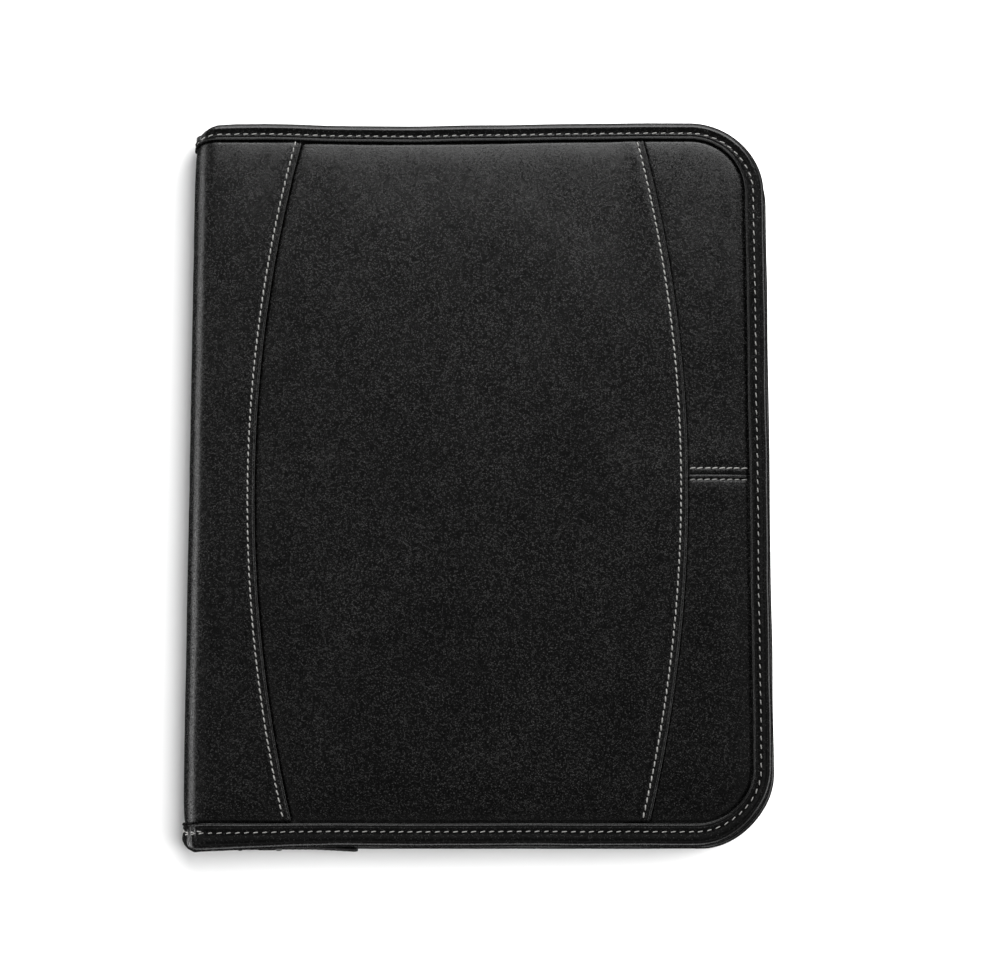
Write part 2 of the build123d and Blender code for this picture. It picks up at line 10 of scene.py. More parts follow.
import bmesh
import bpy
import numpy as np
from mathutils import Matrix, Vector


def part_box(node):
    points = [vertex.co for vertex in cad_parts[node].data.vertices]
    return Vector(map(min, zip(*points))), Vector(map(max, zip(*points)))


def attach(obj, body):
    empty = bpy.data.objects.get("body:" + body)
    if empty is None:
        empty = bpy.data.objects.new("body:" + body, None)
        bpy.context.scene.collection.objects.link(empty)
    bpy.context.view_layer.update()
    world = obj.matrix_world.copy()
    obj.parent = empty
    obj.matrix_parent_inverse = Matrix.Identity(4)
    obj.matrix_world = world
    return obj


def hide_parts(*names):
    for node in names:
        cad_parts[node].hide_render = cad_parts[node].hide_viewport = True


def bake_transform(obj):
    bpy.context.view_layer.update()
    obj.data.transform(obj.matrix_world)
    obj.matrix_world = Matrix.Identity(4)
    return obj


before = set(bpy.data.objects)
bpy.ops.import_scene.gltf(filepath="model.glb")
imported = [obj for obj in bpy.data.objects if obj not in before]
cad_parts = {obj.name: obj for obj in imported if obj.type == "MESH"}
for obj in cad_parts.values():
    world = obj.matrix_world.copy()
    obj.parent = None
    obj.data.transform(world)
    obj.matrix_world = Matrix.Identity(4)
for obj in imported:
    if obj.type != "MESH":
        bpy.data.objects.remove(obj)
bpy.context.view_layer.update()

MM = 0.001


def box_mm(node):
    """A CAD node's lowest and highest corners in millimetres."""
    low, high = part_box(node)
    return np.array(low) / MM, np.array(high) / MM


# ---- sizes taken from the frame ------------------------------------------------------------------------
BACK_EDGE, HALF, RIM = box_mm("back_binding")[1]
FRONT_EDGE, _, THICK = box_mm("front_binding")[1]
SPINE_X, FOLD_X = (corner[0] for corner in box_mm("spine_leather"))
FOLD_R = FOLD_X - SPINE_X
INSIDE = box_mm("back_lining")[1][2]
BOARD_TOP = THICK - box_mm("front_board")[1][2]
MID_Z = THICK / 2
HALF_ARC = math.pi / 2 * FOLD_R  # the leather's length round one fold
MID = FOLD_X - HALF_ARC - (MID_Z - FOLD_R)  # `across` at the middle of the spine

# ---- sizes of the finished looks -----------------------------------------------------------------------
CORNER_R = 34.0
LIP = 7.9  # crest of the binding's inner lip, in from the rim
TUCK = 0.7  # how far the leather panels run in under that lip
STITCH_INSET = 5.15  # the binding's row of stitches, in from the rim
BINDING_PITCH = 4.05
SEAM_HALF_SPAN = 158.4
LEFT_SEAM, RIGHT_SEAM = (-103.4, 19.2), (94.05, -18.9)  # place across at mid height, and bow
SEAM_ROW, SEAM_PITCH = 2.6, 3.35  # a seam's stitches: how far from the folded edge, and how far apart
MOUTH_Y = -0.6  # the pen pocket's mouth
ROW_OVER_MOUTH, ROW_UNDER_MOUTH = 3.8, -1.4
FOLD_ROLL = 0.55  # radius of a folded edge
BACK_CLEAR = 0.02  # how far the back's leather stays off the floor
UNDERLAP = 1.2  # how far a panel runs on under its neighbour's folded edge

rng = np.random.default_rng(7)


# ---- small numeric helpers -----------------------------------------------------------------------------
def smooth(edge0, edge1, x):
    """From 0 at the first edge to 1 at the second, with a soft start and end."""
    t = np.clip((np.asarray(x, float) - edge0) / (edge1 - edge0), 0, 1)
    return t * t * (3 - 2 * t)


def bell(x, centre, width):
    """1 at the centre, falling off on both sides."""
    return np.exp(-(((np.asarray(x, float) - centre) / width) ** 2))


def fading(distance, reach):
    """1 up to distance 0, then falling off over the reach."""
    return np.exp(-np.maximum(distance, 0) / reach)


def corner_reach(over, radius):
    """How far a rounded corner reaches square to the direction in which a point is `over` its centre."""
    return np.sqrt(np.maximum(radius**2 - np.maximum(over, 0) ** 2, 0))


def xyz(x, y, z):
    """Points from coordinates that may be single numbers or arrays."""
    return np.stack(np.broadcast_arrays(*(np.asarray(v, float) for v in (x, y, z))), -1)


class Wobble:
    """A smooth wandering line or surface made of a few seeded sine waves."""

    def __init__(self, seed, wavelength, amplitude, count=5):
        draw = np.random.default_rng(seed)
        angle = draw.uniform(0, 2 * math.pi, count)
        size = 2 * math.pi / (wavelength * draw.uniform(0.6, 1.7, count))
        self.kx, self.ky = size * np.cos(angle), size * np.sin(angle)
        self.line = size
        self.phase = draw.uniform(0, 2 * math.pi, count)
        self.amplitude = amplitude / math.sqrt(count / 2)

    def at(self, x, y=None):
        x = np.asarray(x, float)[..., None]
        if y is None:
            wave = np.sin(self.line * x + self.phase)
        else:
            wave = np.sin(self.kx * x + self.ky * np.asarray(y, float)[..., None] + self.phase)
        return self.amplitude * wave.mean(-1) * math.sqrt(len(self.phase))


def catmull(points, steps, closed=False):
    """A smooth line through the points, with so many steps between neighbours."""
    p = np.asarray(points, float)
    n = len(p)
    out = []
    spans = n if closed else n - 1
    for i in range(spans):
        ids = [i - 1, i, i + 1, i + 2]
        a, b, c, d = (p[k % n] if closed else p[min(max(k, 0), n - 1)] for k in ids)
        for s in range(steps):
            t = s / steps
            out.append(0.5 * (2 * b + (c - a) * t + (2 * a - 5 * b + 4 * c - d) * t * t
                              + (3 * b - a - 3 * c + d) * t**3))
    if not closed:
        out.append(p[-1])
    return np.array(out)


def spaced(start, end, fine_start, fine_end, coarse, growth=0.07):
    """Values from start to end, closely spaced near the ends and coarse between."""
    values, x = [start], start
    while x < end:
        near = min(x - start, end - x)
        step = fine_start if x - start < end - x else fine_end
        x += min(coarse, step + growth * near)
        values.append(x)
    values = np.array(values)
    return start + (values - start) * (end - start) / (values[-1] - start)


def two_paced(start, middle, end, count, further):
    """So many values from start to middle, and so many further ones to the end."""
    return np.r_[np.linspace(start, middle, count)[:-1], np.linspace(middle, end, further)]


# ---- mesh helpers --------------------------------------------------------------------------------------
def grid_faces(rows, cols, wrap=False, flip=False):
    """Quads of a rows by cols grid of points; wrap joins the last column to the first."""
    i, j = np.meshgrid(np.arange(rows - 1), np.arange(cols if wrap else cols - 1), indexing="ij")
    k = (j + 1) % cols
    here, below = i * cols, (i + 1) * cols
    quads = np.stack([here + j, below + j, below + k, here + k], -1).reshape(-1, 4)
    return quads[:, ::-1] if flip else quads


def make(name, verts, faces, material, outward=False, is_smooth=True):
    """A mesh object from points in millimetres."""
    mesh = bpy.data.meshes.new(name)
    faces = faces.tolist() if isinstance(faces, np.ndarray) else faces
    mesh.from_pydata((np.asarray(verts, float).reshape(-1, 3) * MM).tolist(), [], faces)
    if outward:
        bm = bmesh.new()
        bm.from_mesh(mesh)
        bmesh.ops.recalc_face_normals(bm, faces=bm.faces)
        bm.to_mesh(mesh)
        bm.free()
    mesh.polygons.foreach_set("use_smooth", [is_smooth] * len(mesh.polygons))
    mesh.materials.append(material)
    mesh.update()
    piece = bpy.data.objects.new(name, mesh)
    bpy.context.scene.collection.objects.link(piece)
    return piece


def ring_with_caps(sections):
    """Points and faces of closed sections (stations, sides, 3) joined into a tube with capped ends."""
    sections = np.asarray(sections, float)
    count, sides = sections.shape[:2]
    faces = grid_faces(count, sides, wrap=True).tolist()
    faces += [list(range(sides)), list(range((count - 1) * sides, count * sides))[::-1]]
    return sections.reshape(-1, 3), faces


def solid(name, sections, material, **options):
    """A closed piece from its sections."""
    return make(name, *ring_with_caps(sections), material, outward=True, **options)


def tubes(paths, radius, sides=6, taper=0.0, side_dir=(0.13, 0.31, 0.94)):
    """Points and faces of many tubes at once; paths is (tubes, stations, 3)."""
    paths = np.asarray(paths, float)
    n, m = paths.shape[:2]
    tangent = unit(np.gradient(paths, axis=1))
    a = unit(np.cross(tangent, np.broadcast_to(side_dir, paths.shape)))
    b = np.cross(tangent, a)
    t = np.linspace(-1, 1, m)
    r = radius * (1 - taper * t**4)[None, :, None, None]
    angle = np.linspace(0, 2 * math.pi, sides, endpoint=False)
    ring = np.cos(angle)[:, None] * a[:, :, None] + np.sin(angle)[:, None] * b[:, :, None]
    points = paths[:, :, None] + r * ring
    bases = np.arange(n) * m * sides
    faces = (grid_faces(m, sides, wrap=True)[None] + bases[:, None, None]).reshape(-1, 4).tolist()
    for base in bases:
        faces.append(list(range(base, base + sides)))
        faces.append(list(range(base + (m - 1) * sides, base + m * sides))[::-1])
    return points.reshape(-1, 3), faces


def join_parts(parts):
    """One (points, faces) from several."""
    verts, faces, base = [], [], 0
    for v, f in parts:
        v = np.asarray(v, float).reshape(-1, 3)
        verts.append(v)
        faces += [[i + base for i in face] for face in f]
        base += len(v)
    return np.concatenate(verts), faces


def make_joined(name, parts, material, **options):
    return make(name, *join_parts(parts), material, **options)


def mileage(path):
    """How far along a line of points each of them is."""
    return np.r_[0, np.cumsum(np.linalg.norm(np.diff(path, axis=0), axis=1))]


def along(path, distances, values=None):
    """Points at distances along a line of points, or other values that go with its points."""
    values = path if values is None else values
    step = mileage(path)
    return np.stack([np.interp(distances, step, values[:, k]) for k in range(3)], -1)


def unit(vectors):
    return vectors / np.linalg.norm(vectors, axis=-1, keepdims=True)


def stitch_parts(path, normal, pitch=3.6, length=2.5, radius=0.31, lift=0.38, slant=0.16, start=1.2,
                 end=1.0):
    """Threads lying along a line of points; each dips into the leather at its ends, against the normal."""
    count = int((mileage(path)[-1] - start - end) / pitch)
    centre = start + pitch * (np.arange(count) + 0.5) + rng.normal(0, 0.06, count)
    p = along(path, centre)
    t = unit(along(path, centre + 0.4) - along(path, centre - 0.4))
    n = unit(along(path, centre, np.broadcast_to(normal, path.shape)))
    b = np.cross(n, t)
    tau = np.linspace(-1, 1, 9)
    lean = slant + rng.normal(0, 0.03, count)
    size = length * (1 + rng.normal(0, 0.04, count)) / 2
    height = lift * (1 - 1.9 * np.abs(tau) ** 3.2)
    points = (p[:, None] + t[:, None] * (tau * size[:, None])[..., None]
              + b[:, None] * (tau * (size * lean)[:, None])[..., None] + n[:, None] * height[None, :, None])
    return tubes(points, radius, sides=7, taper=0.3, side_dir=n[:, None])


def stand_in(piece, *nodes, body=None):
    """Puts a piece in place of CAD nodes by hiding them; it rides a body if one is given."""
    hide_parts(*nodes)
    if body:
        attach(piece, body)


# ---- where things are on the case ----------------------------------------------------------------------
def seam_x(x, bow, y):
    """A bowed seam's place across at heights y. A positive bow bends its ends towards +X."""
    radius = (SEAM_HALF_SPAN**2 + bow**2) / (2 * abs(bow))
    lean = 0.003 * np.asarray(y, float) if bow > 0 else 0.0
    return x + lean + math.copysign(1, bow) * (radius - np.sqrt(radius**2 - np.asarray(y, float) ** 2))


def wrap(across, y, depth, front=True):
    """Points on the case, where `across` is x on a cover and runs on round the fold and down the spine."""
    across, y, depth = np.broadcast_arrays(*(np.asarray(v, float) for v in (across, y, depth)))
    theta = np.clip((FOLD_X - across) / FOLD_R, 0, math.pi / 2)
    flat = np.maximum(across - FOLD_X, 0)
    down = np.maximum(FOLD_X - across - HALF_ARC, 0)
    x = FOLD_X + flat - (FOLD_R - depth) * np.sin(theta)
    z = THICK - FOLD_R + (FOLD_R - depth) * np.cos(theta) - down
    return np.stack([x, y, z if front else THICK - z], -1)


def inset_of(x, y, edge):
    """How far a point is in from the rim, over the open edge, its corners, and the head and foot."""
    x, y = np.asarray(x, float), np.abs(np.asarray(y, float))
    dx, dy = x - (edge - CORNER_R), y - (HALF - CORNER_R)
    return np.where((dx > 0) & (dy > 0), CORNER_R - np.hypot(dx, dy), np.minimum(edge - x, HALF - y))


# (share of the fold's quarter turn, how far in) for the binding's outer and inner edges, at head and foot
DIPS = {
    "head": ([(-1.2, 0.0), (-0.5, 0.1), (0.0, 0.7), (0.2, 1.6), (0.4, 3.2), (0.62, 6.0), (0.85, 6.8),
              (1.08, 6.6)],
             [(-1.2, 0.0), (0.0, 0.2), (0.4, 0.6), (0.62, 1.3), (0.85, 2.6), (1.08, 3.4)]),
    "foot": ([(-3.4, 0.0), (-2.2, -0.4), (-1.2, -1.0), (0.0, -2.0), (0.42, -2.3), (0.62, -1.2), (0.8, 0.8),
              (1.08, 2.4)],
             [(-1.2, 0.0), (0.0, 0.1), (0.4, -0.3), (0.65, -0.6), (0.85, 0.6), (1.08, 1.5)])}


def spine_dip(across, y, inset):
    """How far the rim is pulled in where it wraps round the spine: at the head if y > 0, else the foot."""
    turn = (FOLD_X - np.asarray(across, float)) / HALF_ARC
    share = np.clip(np.asarray(inset, float) / LIP, 0, 1)
    dips = []
    for end in ("head", "foot"):
        outer, inner = (np.interp(turn, *zip(*points)) for points in DIPS[end])
        dips.append(outer + (inner - outer) * share)
    return np.where(y > 0, *dips)


# ---- materials -----------------------------------------------------------------------------------------
class Nodes:
    """A small wrapper that keeps node-building short, for a material or a world."""

    def __init__(self, owner, shader="Principled BSDF"):
        self.owner = owner
        owner.use_nodes = True
        self.tree = owner.node_tree
        self.shader = self.tree.nodes[shader]
        self.texture = self.add("ShaderNodeTexCoord")
        self.coord = self.texture.outputs["Object"]

    @classmethod
    def material(cls, name):
        return cls(bpy.data.materials.new(name))

    def plug(self, node, inputs):
        for key, value in inputs.items():
            if isinstance(value, bpy.types.NodeSocket):
                self.tree.links.new(value, node.inputs[key])
            else:
                node.inputs[key].default_value = value
        return node

    def add(self, kind, inputs=None, **settings):
        node = self.tree.nodes.new(kind)
        for key, value in settings.items():
            setattr(node, key, value)
        return self.plug(node, inputs or {})

    def math(self, operation, a, b=0.0, c=0.0):
        return self.add("ShaderNodeMath", {0: a, 1: b, 2: c}, operation=operation).outputs[0]

    def times(self, a, b):
        return self.math("MULTIPLY", a, b)

    def times_plus(self, a, b, c):
        return self.math("MULTIPLY_ADD", a, b, c)

    def minus(self, a, b):
        return self.math("SUBTRACT", a, b)

    def stripes(self, value, pitch):
        """Rounded ridges, a pitch in millimetres apart."""
        return self.math("ABSOLUTE", self.math("SINE", self.times(value, math.pi / (pitch * MM))))

    def noise(self, scale, detail=3.0, roughness=0.55, vector=None):
        node = self.add("ShaderNodeTexNoise", {"Vector": vector or self.coord, "Scale": scale,
                                               "Detail": detail, "Roughness": roughness})
        return node.outputs["Fac"]

    def stretched(self, *scale):
        return self.add("ShaderNodeMapping", {"Vector": self.coord, "Scale": scale}).outputs[0]

    def edge_wear_and_highlight(self, low, high):
        """1 on ridges and edges: where things rub, and where leather gets a painted highlight."""
        return self.ramp(self.add("ShaderNodeNewGeometry").outputs["Pointiness"], low, high)

    def ramp(self, value, low, high, to_low=0.0, to_high=1.0):
        return self.add("ShaderNodeMapRange", {"Value": value, "From Min": low, "From Max": high,
                                               "To Min": to_low, "To Max": to_high}).outputs["Result"]

    def mix(self, fac, a, b):
        return self.add("ShaderNodeMix", {0: fac, 6: a, 7: b}, data_type="RGBA").outputs[2]

    def bump(self, height, strength, distance):
        inputs = {"Height": height, "Strength": strength, "Distance": distance}
        return self.add("ShaderNodeBump", inputs).outputs[0]

    def set(self, **inputs):
        self.plug(self.shader, {key.replace("_", " "): value for key, value in inputs.items()})
        return self.owner


def grey(value, tint=(1.0, 1.0, 1.0)):
    return (value * tint[0], value * tint[1], value * tint[2], 1.0)


def leather(name, tone=0.008, rough=0.22, cell=0.6, relief=0.085, mottle=0.35, specular=0.66, contrast=1.0):
    """Pebbled imitation leather: faceted cells, each of its own tone, a painted glint on the pale cells'
    domes, painted shade darkening the creases, a painted highlight on ridges and folds, and slow clouding.
    """
    n = Nodes.material(name)
    drift = n.add("ShaderNodeTexNoise", {"Vector": n.coord, "Scale": 0.45 / (cell * MM), "Detail": 2.0})
    offset = n.add("ShaderNodeVectorMath", {0: drift.outputs["Color"], 1: (cell * MM * 0.2,) * 3},
                   operation="MULTIPLY").outputs[0]
    moved = n.add("ShaderNodeVectorMath", {0: n.coord, 1: offset}, operation="ADD").outputs[0]
    cells = n.add("ShaderNodeTexVoronoi", {"Vector": moved, "Scale": 1 / (cell * MM)},
                  feature="DISTANCE_TO_EDGE").outputs["Distance"]
    pebble = n.add("ShaderNodeTexVoronoi", {"Vector": moved, "Scale": 1 / (cell * MM)}, feature="F1")
    own = n.add("ShaderNodeSeparateColor", {"Color": pebble.outputs["Color"]}).outputs[0]
    crease = n.ramp(cells, 0.03, 0.36)
    height = n.times_plus(own, 0.35, cells)
    height = n.times_plus(n.noise(1 / (0.6 * MM), 2.0), 0.3, height)
    cloud = n.noise(26.0, 5.0, 0.62)
    patches = n.noise(140.0, 3.0, 0.6)
    tone_mix = n.times_plus(n.ramp(cloud, 0.32, 0.7), 0.65, n.times(patches, 0.35))
    base = n.mix(tone_mix, grey(tone * (1 - mottle)), grey(tone * (1 + mottle), (1.0, 0.99, 0.97)))
    # painted glint: random pale cells are lightened, most of all on their domes away from the creases
    share = n.times(n.times(n.math("POWER", own, 2.0), crease), contrast)
    lit = 13.0 * tone  # the palest cells: random cell tone, with a painted glint on their domes
    glint_colour = n.mix(tone_mix, grey(lit * (1 - mottle)), grey(lit * (1 + mottle), (1.0, 0.99, 0.97)))
    # painted shade: the creases between the cells are darkened nearly to black
    colour = n.mix(n.times(n.minus(1.0, crease), contrast), base, grey(tone * 0.03))
    colour = n.mix(share, colour, glint_colour)
    # painted highlight: ridges and folded edges, found by Pointiness, are lightened to draw highlight lines
    # along the folds
    colour = n.mix(n.times(n.edge_wear_and_highlight(0.515, 0.6), 0.3), colour, grey(tone * 4.0, (1.0, 0.97, 0.93)))
    roughness = n.times_plus(tone_mix, 0.06, n.times_plus(share, 0.6, rough - 0.11))
    normal = n.bump(height, 1.0, relief * MM)
    return n.set(Base_Color=colour, Roughness=roughness, Normal=normal, Specular_IOR_Level=specular)


def weave(name, tone, thread=0.5, rough=0.75, sheen=0.25, tint=(1, 1, 1)):
    """Woven cloth: two sets of threads that pass over and under each other."""
    n = Nodes.material(name)
    split = n.add("ShaderNodeSeparateXYZ", {"Vector": n.coord})
    waves = [n.math("SINE", n.times(axis, math.pi / (thread * MM))) for axis in split.outputs]
    over = n.times(waves[0], waves[1])
    side = n.times(waves[2], n.math("ADD", waves[0], waves[1]))
    threads = n.math("ABSOLUTE", n.times_plus(side, 0.5, over))
    fuzz = n.noise(5200.0, 2.0)
    height = n.times_plus(fuzz, 0.3, threads)
    cloud = n.noise(60.0, 4.0)
    fac = n.times_plus(threads, 0.5, n.times(cloud, 0.5))
    colour = n.mix(fac, grey(tone * 0.5, tint), grey(tone * 1.6, tint))
    return n.set(Base_Color=colour, Roughness=n.ramp(fuzz, 0, 1, rough - 0.08, rough + 0.1),
                 Normal=n.bump(height, 0.8, 0.12 * MM), Sheen_Weight=sheen, Sheen_Roughness=0.4,
                 Specular_IOR_Level=0.25)


def thread_material(name, tone):
    """Twisted polyester thread: fine slanting plies and a little grime."""
    n = Nodes.material(name)
    ply = n.add("ShaderNodeTexWave", {"Vector": n.coord, "Scale": 900.0, "Distortion": 1.5},
                bands_direction="DIAGONAL").outputs["Fac"]
    dirt = n.noise(420.0, 3.0)
    fac = n.times_plus(ply, 0.45, n.times(dirt, 0.55))
    colour = n.mix(fac, grey(tone * 0.85, (1.0, 0.98, 0.94)), grey(tone * 1.2, (1.0, 0.99, 0.96)))
    return n.set(Base_Color=colour, Roughness=n.ramp(dirt, 0, 1, 0.5, 0.75),
                 Normal=n.bump(ply, 0.6, 0.06 * MM), Sheen_Weight=0.2)


def enamel(name, tone, rough=0.28, metallic=0.0, wear=0.5):
    """Painted or bare metal with fine scratches, brighter where its edges are rubbed."""
    n = Nodes.material(name)
    scratches = n.noise(900.0, 4.0, 0.7, n.stretched(1, 1, 9))
    blotch = n.noise(160.0, 3.0)
    colour = n.mix(blotch, grey(tone * 0.8), grey(tone * 1.25))
    colour = n.mix(n.times(n.edge_wear_and_highlight(0.52, 0.62), wear), colour, grey(min(tone * 6 + 0.05, 0.7)))
    return n.set(Base_Color=colour, Metallic=metallic, Normal=n.bump(scratches, 0.25, 0.02 * MM),
                 Roughness=n.ramp(scratches, 0.3, 0.7, rough - 0.06, rough + 0.14))


def speckled(name, low, high, scale=700.0, rough=0.85, layers=False):
    """Board, foam or paper: fibres, specks, and layers down the edge where asked."""
    n = Nodes.material(name)
    fibres = n.noise(scale, 4.0, 0.7, n.stretched(1, 0.35, 1))
    specks = n.ramp(n.noise(scale * 3, 2.0), 0.62, 0.72)
    colour = n.mix(fibres, low, high)
    colour = n.mix(n.times(specks, 0.35), colour, tuple(0.4 * c for c in low[:3]) + (1.0,))
    height = fibres
    if layers:
        z = n.add("ShaderNodeSeparateXYZ", {"Vector": n.coord}).outputs[2]
        lines = n.stripes(z, 0.12)
        height = n.times_plus(lines, 1.5, fibres)
    return n.set(Base_Color=colour, Roughness=n.ramp(fibres, 0, 1, rough - 0.1, min(1.0, rough + 0.1)),
                 Normal=n.bump(height, 0.5, 0.05 * MM), Specular_IOR_Level=0.3)


def ruled_paper(name, head_y, left_x):
    """White writing paper with pale blue rules, a red margin line and soft page edges."""
    n = Nodes.material(name)
    split = n.add("ShaderNodeSeparateXYZ", {"Vector": n.coord})
    x, y, z = split.outputs
    rows = n.math("FRACT", n.math("DIVIDE", n.minus(head_y * MM, y), 8.7 * MM))
    rule = n.math("LESS_THAN", n.math("ABSOLUTE", n.minus(rows, 0.5)), 0.021)
    below_head = n.math("LESS_THAN", y, (head_y - 34) * MM)
    rule = n.times(rule, below_head)
    margin = n.math("LESS_THAN", n.math("ABSOLUTE", n.minus(x, (left_x + 31.8) * MM)), 0.2 * MM)
    fibres = n.noise(1500.0, 4.0, 0.7)
    tone = n.noise(30.0, 2.0)
    paper = n.mix(n.times_plus(fibres, 0.5, n.times(tone, 0.5)),
                  (0.74, 0.74, 0.71, 1), (0.86, 0.86, 0.83, 1))
    up = n.math("GREATER_THAN", n.add("ShaderNodeSeparateXYZ", {
        "Vector": n.add("ShaderNodeNewGeometry").outputs["Normal"]}).outputs[2], 0.5)
    ink = n.mix(n.times(n.times(rule, up), 0.75), paper, (0.2, 0.42, 0.68, 1))
    ink = n.mix(n.times(n.times(margin, up), 0.7), ink, (0.75, 0.13, 0.13, 1))
    pages = n.stripes(z, 0.1)
    return n.set(Base_Color=ink, Roughness=n.ramp(fibres, 0, 1, 0.7, 0.9), Specular_IOR_Level=0.2,
                 Normal=n.bump(n.times_plus(pages, 0.6, fibres), 0.35, 0.04 * MM))


RIB_PITCH = 1.1


def ribbed(name, tone):
    """Elastic webbing: ribs across its width with fine threads between."""
    n = Nodes.material(name)
    y = n.add("ShaderNodeSeparateXYZ", {"Vector": n.coord}).outputs[1]
    rib = n.stripes(y, RIB_PITCH)
    fuzz = n.noise(3600.0, 3.0)
    height = n.times_plus(fuzz, 0.35, rib)
    colour = n.mix(height, grey(tone * 0.4), grey(tone * 1.7))
    return n.set(Base_Color=colour, Roughness=n.ramp(fuzz, 0, 1, 0.65, 0.9), Sheen_Weight=0.3,
                 Normal=n.bump(height, 0.8, 0.15 * MM))


def coil_material(name, tone):
    """Moulded nylon: satin with faint flow marks."""
    n = Nodes.material(name)
    flow = n.noise(700.0, 3.0)
    colour = n.mix(flow, grey(tone * 0.7), grey(tone * 1.4))
    return n.set(Base_Color=colour, Roughness=n.ramp(flow, 0, 1, 0.3, 0.5),
                 Normal=n.bump(flow, 0.2, 0.03 * MM))


PANEL = leather("panel_leather")
CENTER = leather("center_leather", tone=0.0083, mottle=0.45)
TRIM = leather("binding_leather", tone=0.0063, rough=0.16, relief=0.04, mottle=0.3, contrast=0.6)
INNER = leather("inner_leather", tone=0.009, rough=0.4, cell=0.9, relief=0.12, mottle=0.3, specular=0.5,
                contrast=0.5)
THREAD = thread_material("light_thread", 0.8)
DARK_THREAD = thread_material("dark_thread", 0.03)
LINING = weave("lining_cloth", 0.02, thread=0.45, sheen=0.3)
TAPE = weave("zip_tape_cloth", 0.016, thread=0.38, sheen=0.15)
COIL = coil_material("zip_coil", 0.02)
ENAMEL = enamel("black_enamel", 0.02)
NICKEL = enamel("dark_nickel", 0.3, rough=0.3, metallic=1.0, wear=0.3)
ALLOY = enamel("stop_alloy", 0.45, rough=0.35, metallic=1.0, wear=0.3)
BOARD = speckled("binder_board", (0.3, 0.25, 0.19, 1), (0.46, 0.39, 0.3, 1), layers=True)
CHIPBOARD = speckled("pad_board", (0.33, 0.28, 0.22, 1), (0.5, 0.43, 0.34, 1), layers=True)
ELASTIC = ribbed("elastic_web", 0.02)


# ---- binding -------------------------------------------------------------------------------------------
FACE_PROFILE = [  # (inset from the rim, depth below the face)
    (7.4, 2.6), (8.1, 2.0), (8.4, 1.2), (8.42, 0.5), (8.3, 0.06), (8.1, -0.28), (7.82, -0.34), (7.56, -0.06),
    (7.25, 0.24),  # the inner lip, from below
    (6.8, 0.22), (6.2, 0.06), (5.2, 0.1), (4.4, 0.1), (3.8, -0.02), (3.3, -0.14), (2.8, -0.22), (2.2, -0.14),
    (1.6, 0.1), (1.05, 0.48), (0.6, 0.98), (0.3, 1.5), (0.08, 2.1), (0.0, 2.9), (0.05, 3.7),  # the rim
    (0.4, 4.6), (1.1, 5.3), (2.0, 5.6), (2.9, 5.62), (4.6, 5.5), (6.4, 5.6), (8.0, 5.5), (8.5, 5.2),
    (8.4, 4.75), (7.7, 4.6), (7.3, 3.4)]


HEAD_ZONE = (134, 160)  # heights, up or down, over which the sides give way to the head or foot


def lip_reach(y, inset):
    """How much further in the binding's lip runs at the head and foot than along the open edge."""
    head = 0.4 * smooth(2.0, 5.0, inset) - 0.5 * smooth(5.5, 7.5, inset)
    return smooth(*HEAD_ZONE, y) * head + smooth(*HEAD_ZONE, -y) * smooth(3.0, 7.5, inset)


def rim_reach(y, inset):
    """How far the front's rim stands out over the back's along the open edge and the foot."""
    open_edge = 0.6 * (1 - smooth(5.0, 7.0, inset)) * smooth(168, 140, y) * (0.4 + 0.6 * smooth(-100, 60, y))
    foot = 0.85 * (1 - smooth(2.2, 4.2, inset))
    return open_edge * smooth(168, 150, -y) + foot * smooth(150, 168, -y)


def head_sag(x, y):
    """How far the middle of the head edge is drawn in."""
    return 1.5 * bell(x, -35, 62) * smooth(*HEAD_ZONE, y)


def binding_line(edge):
    """Stations round a half binding, head first: places across, heights and outward directions."""
    step = 1.15
    cx, cy = edge - CORNER_R, HALF - CORNER_R
    head = np.arange(MID, cx, step)
    turns = np.linspace(0, math.pi / 2, 46)
    side = np.arange(cy - step, -cy, -step)
    sin, cos, level = np.sin(turns), np.cos(turns), np.ones(len(head))
    across = np.r_[head, cx + CORNER_R * sin, edge + 0 * side, cx + CORNER_R * cos, head[::-1]]
    y = np.r_[HALF * level, cy + CORNER_R * cos, side, -cy - CORNER_R * sin, -HALF * level]
    out_x = np.r_[0 * level, sin, 1 + 0 * side, cos, 0 * level]
    out_y = np.r_[level, cos, 0 * side, -sin, -level]
    return across, y, np.stack([out_x, out_y], -1)


def binding_points(front, inset, depth, across, y, out, length):
    """Points (stations, profile, 3) of a profile's insets and depths carried round the rim."""
    across, y, out_x, out_y = across[:, None], y[:, None], out[:, 0:1], out[:, 1:2]
    dip = spine_dip(across, y, inset) * (np.abs(out_y) > 0.999)
    sag = Wobble(11 if front else 12, 60, 0.15)
    lean = Wobble(13 if front else 14, 38, 0.12)
    reach = lip_reach(y, inset)
    if front:
        reach = reach + head_sag(across, y) - rim_reach(y, inset)
    else:
        reach = reach - 0.35 * out_x * smooth(-40, 60, y)
    reach = reach + (2 * out_x * out_y) ** 2 * (y < 0) * (1 - smooth(4, 7, inset))  # at the foot's corner
    shift = inset + sag.at(length)[:, None] + dip * (1.0 if front else 0.4) + reach
    depth = depth + lean.at(length)[:, None] * smooth(0, 2.5, inset) * (depth < 3)
    depth = depth if front else np.maximum(depth, BACK_CLEAR)
    return wrap(across - out_x * shift, y - out_y * shift, depth, front)


def pucker(across, front, y, inset, depth):
    """Wrinkles of the binding where it is drawn round the spine, deepest at the foot."""
    theta = (FOLD_X - across) / HALF_ARC
    zone = smooth(-0.75, 0.0, theta) * (1 - 0.35 * smooth(0.8, 1.1, theta))
    strength = np.where(y > 0, 0.22, 0.42) * (1.0 if front else 0.8)
    wave = np.sin(across * 1.9 + 0.8 * inset + np.where(y > 0, 0.4, 1.7)) \
        + 0.6 * np.sin(across * 3.1 - 0.6 * inset + 2.0)
    return zone * strength * wave * smooth(0.3, 2.2, inset) * (depth < 3.2) * 0.6


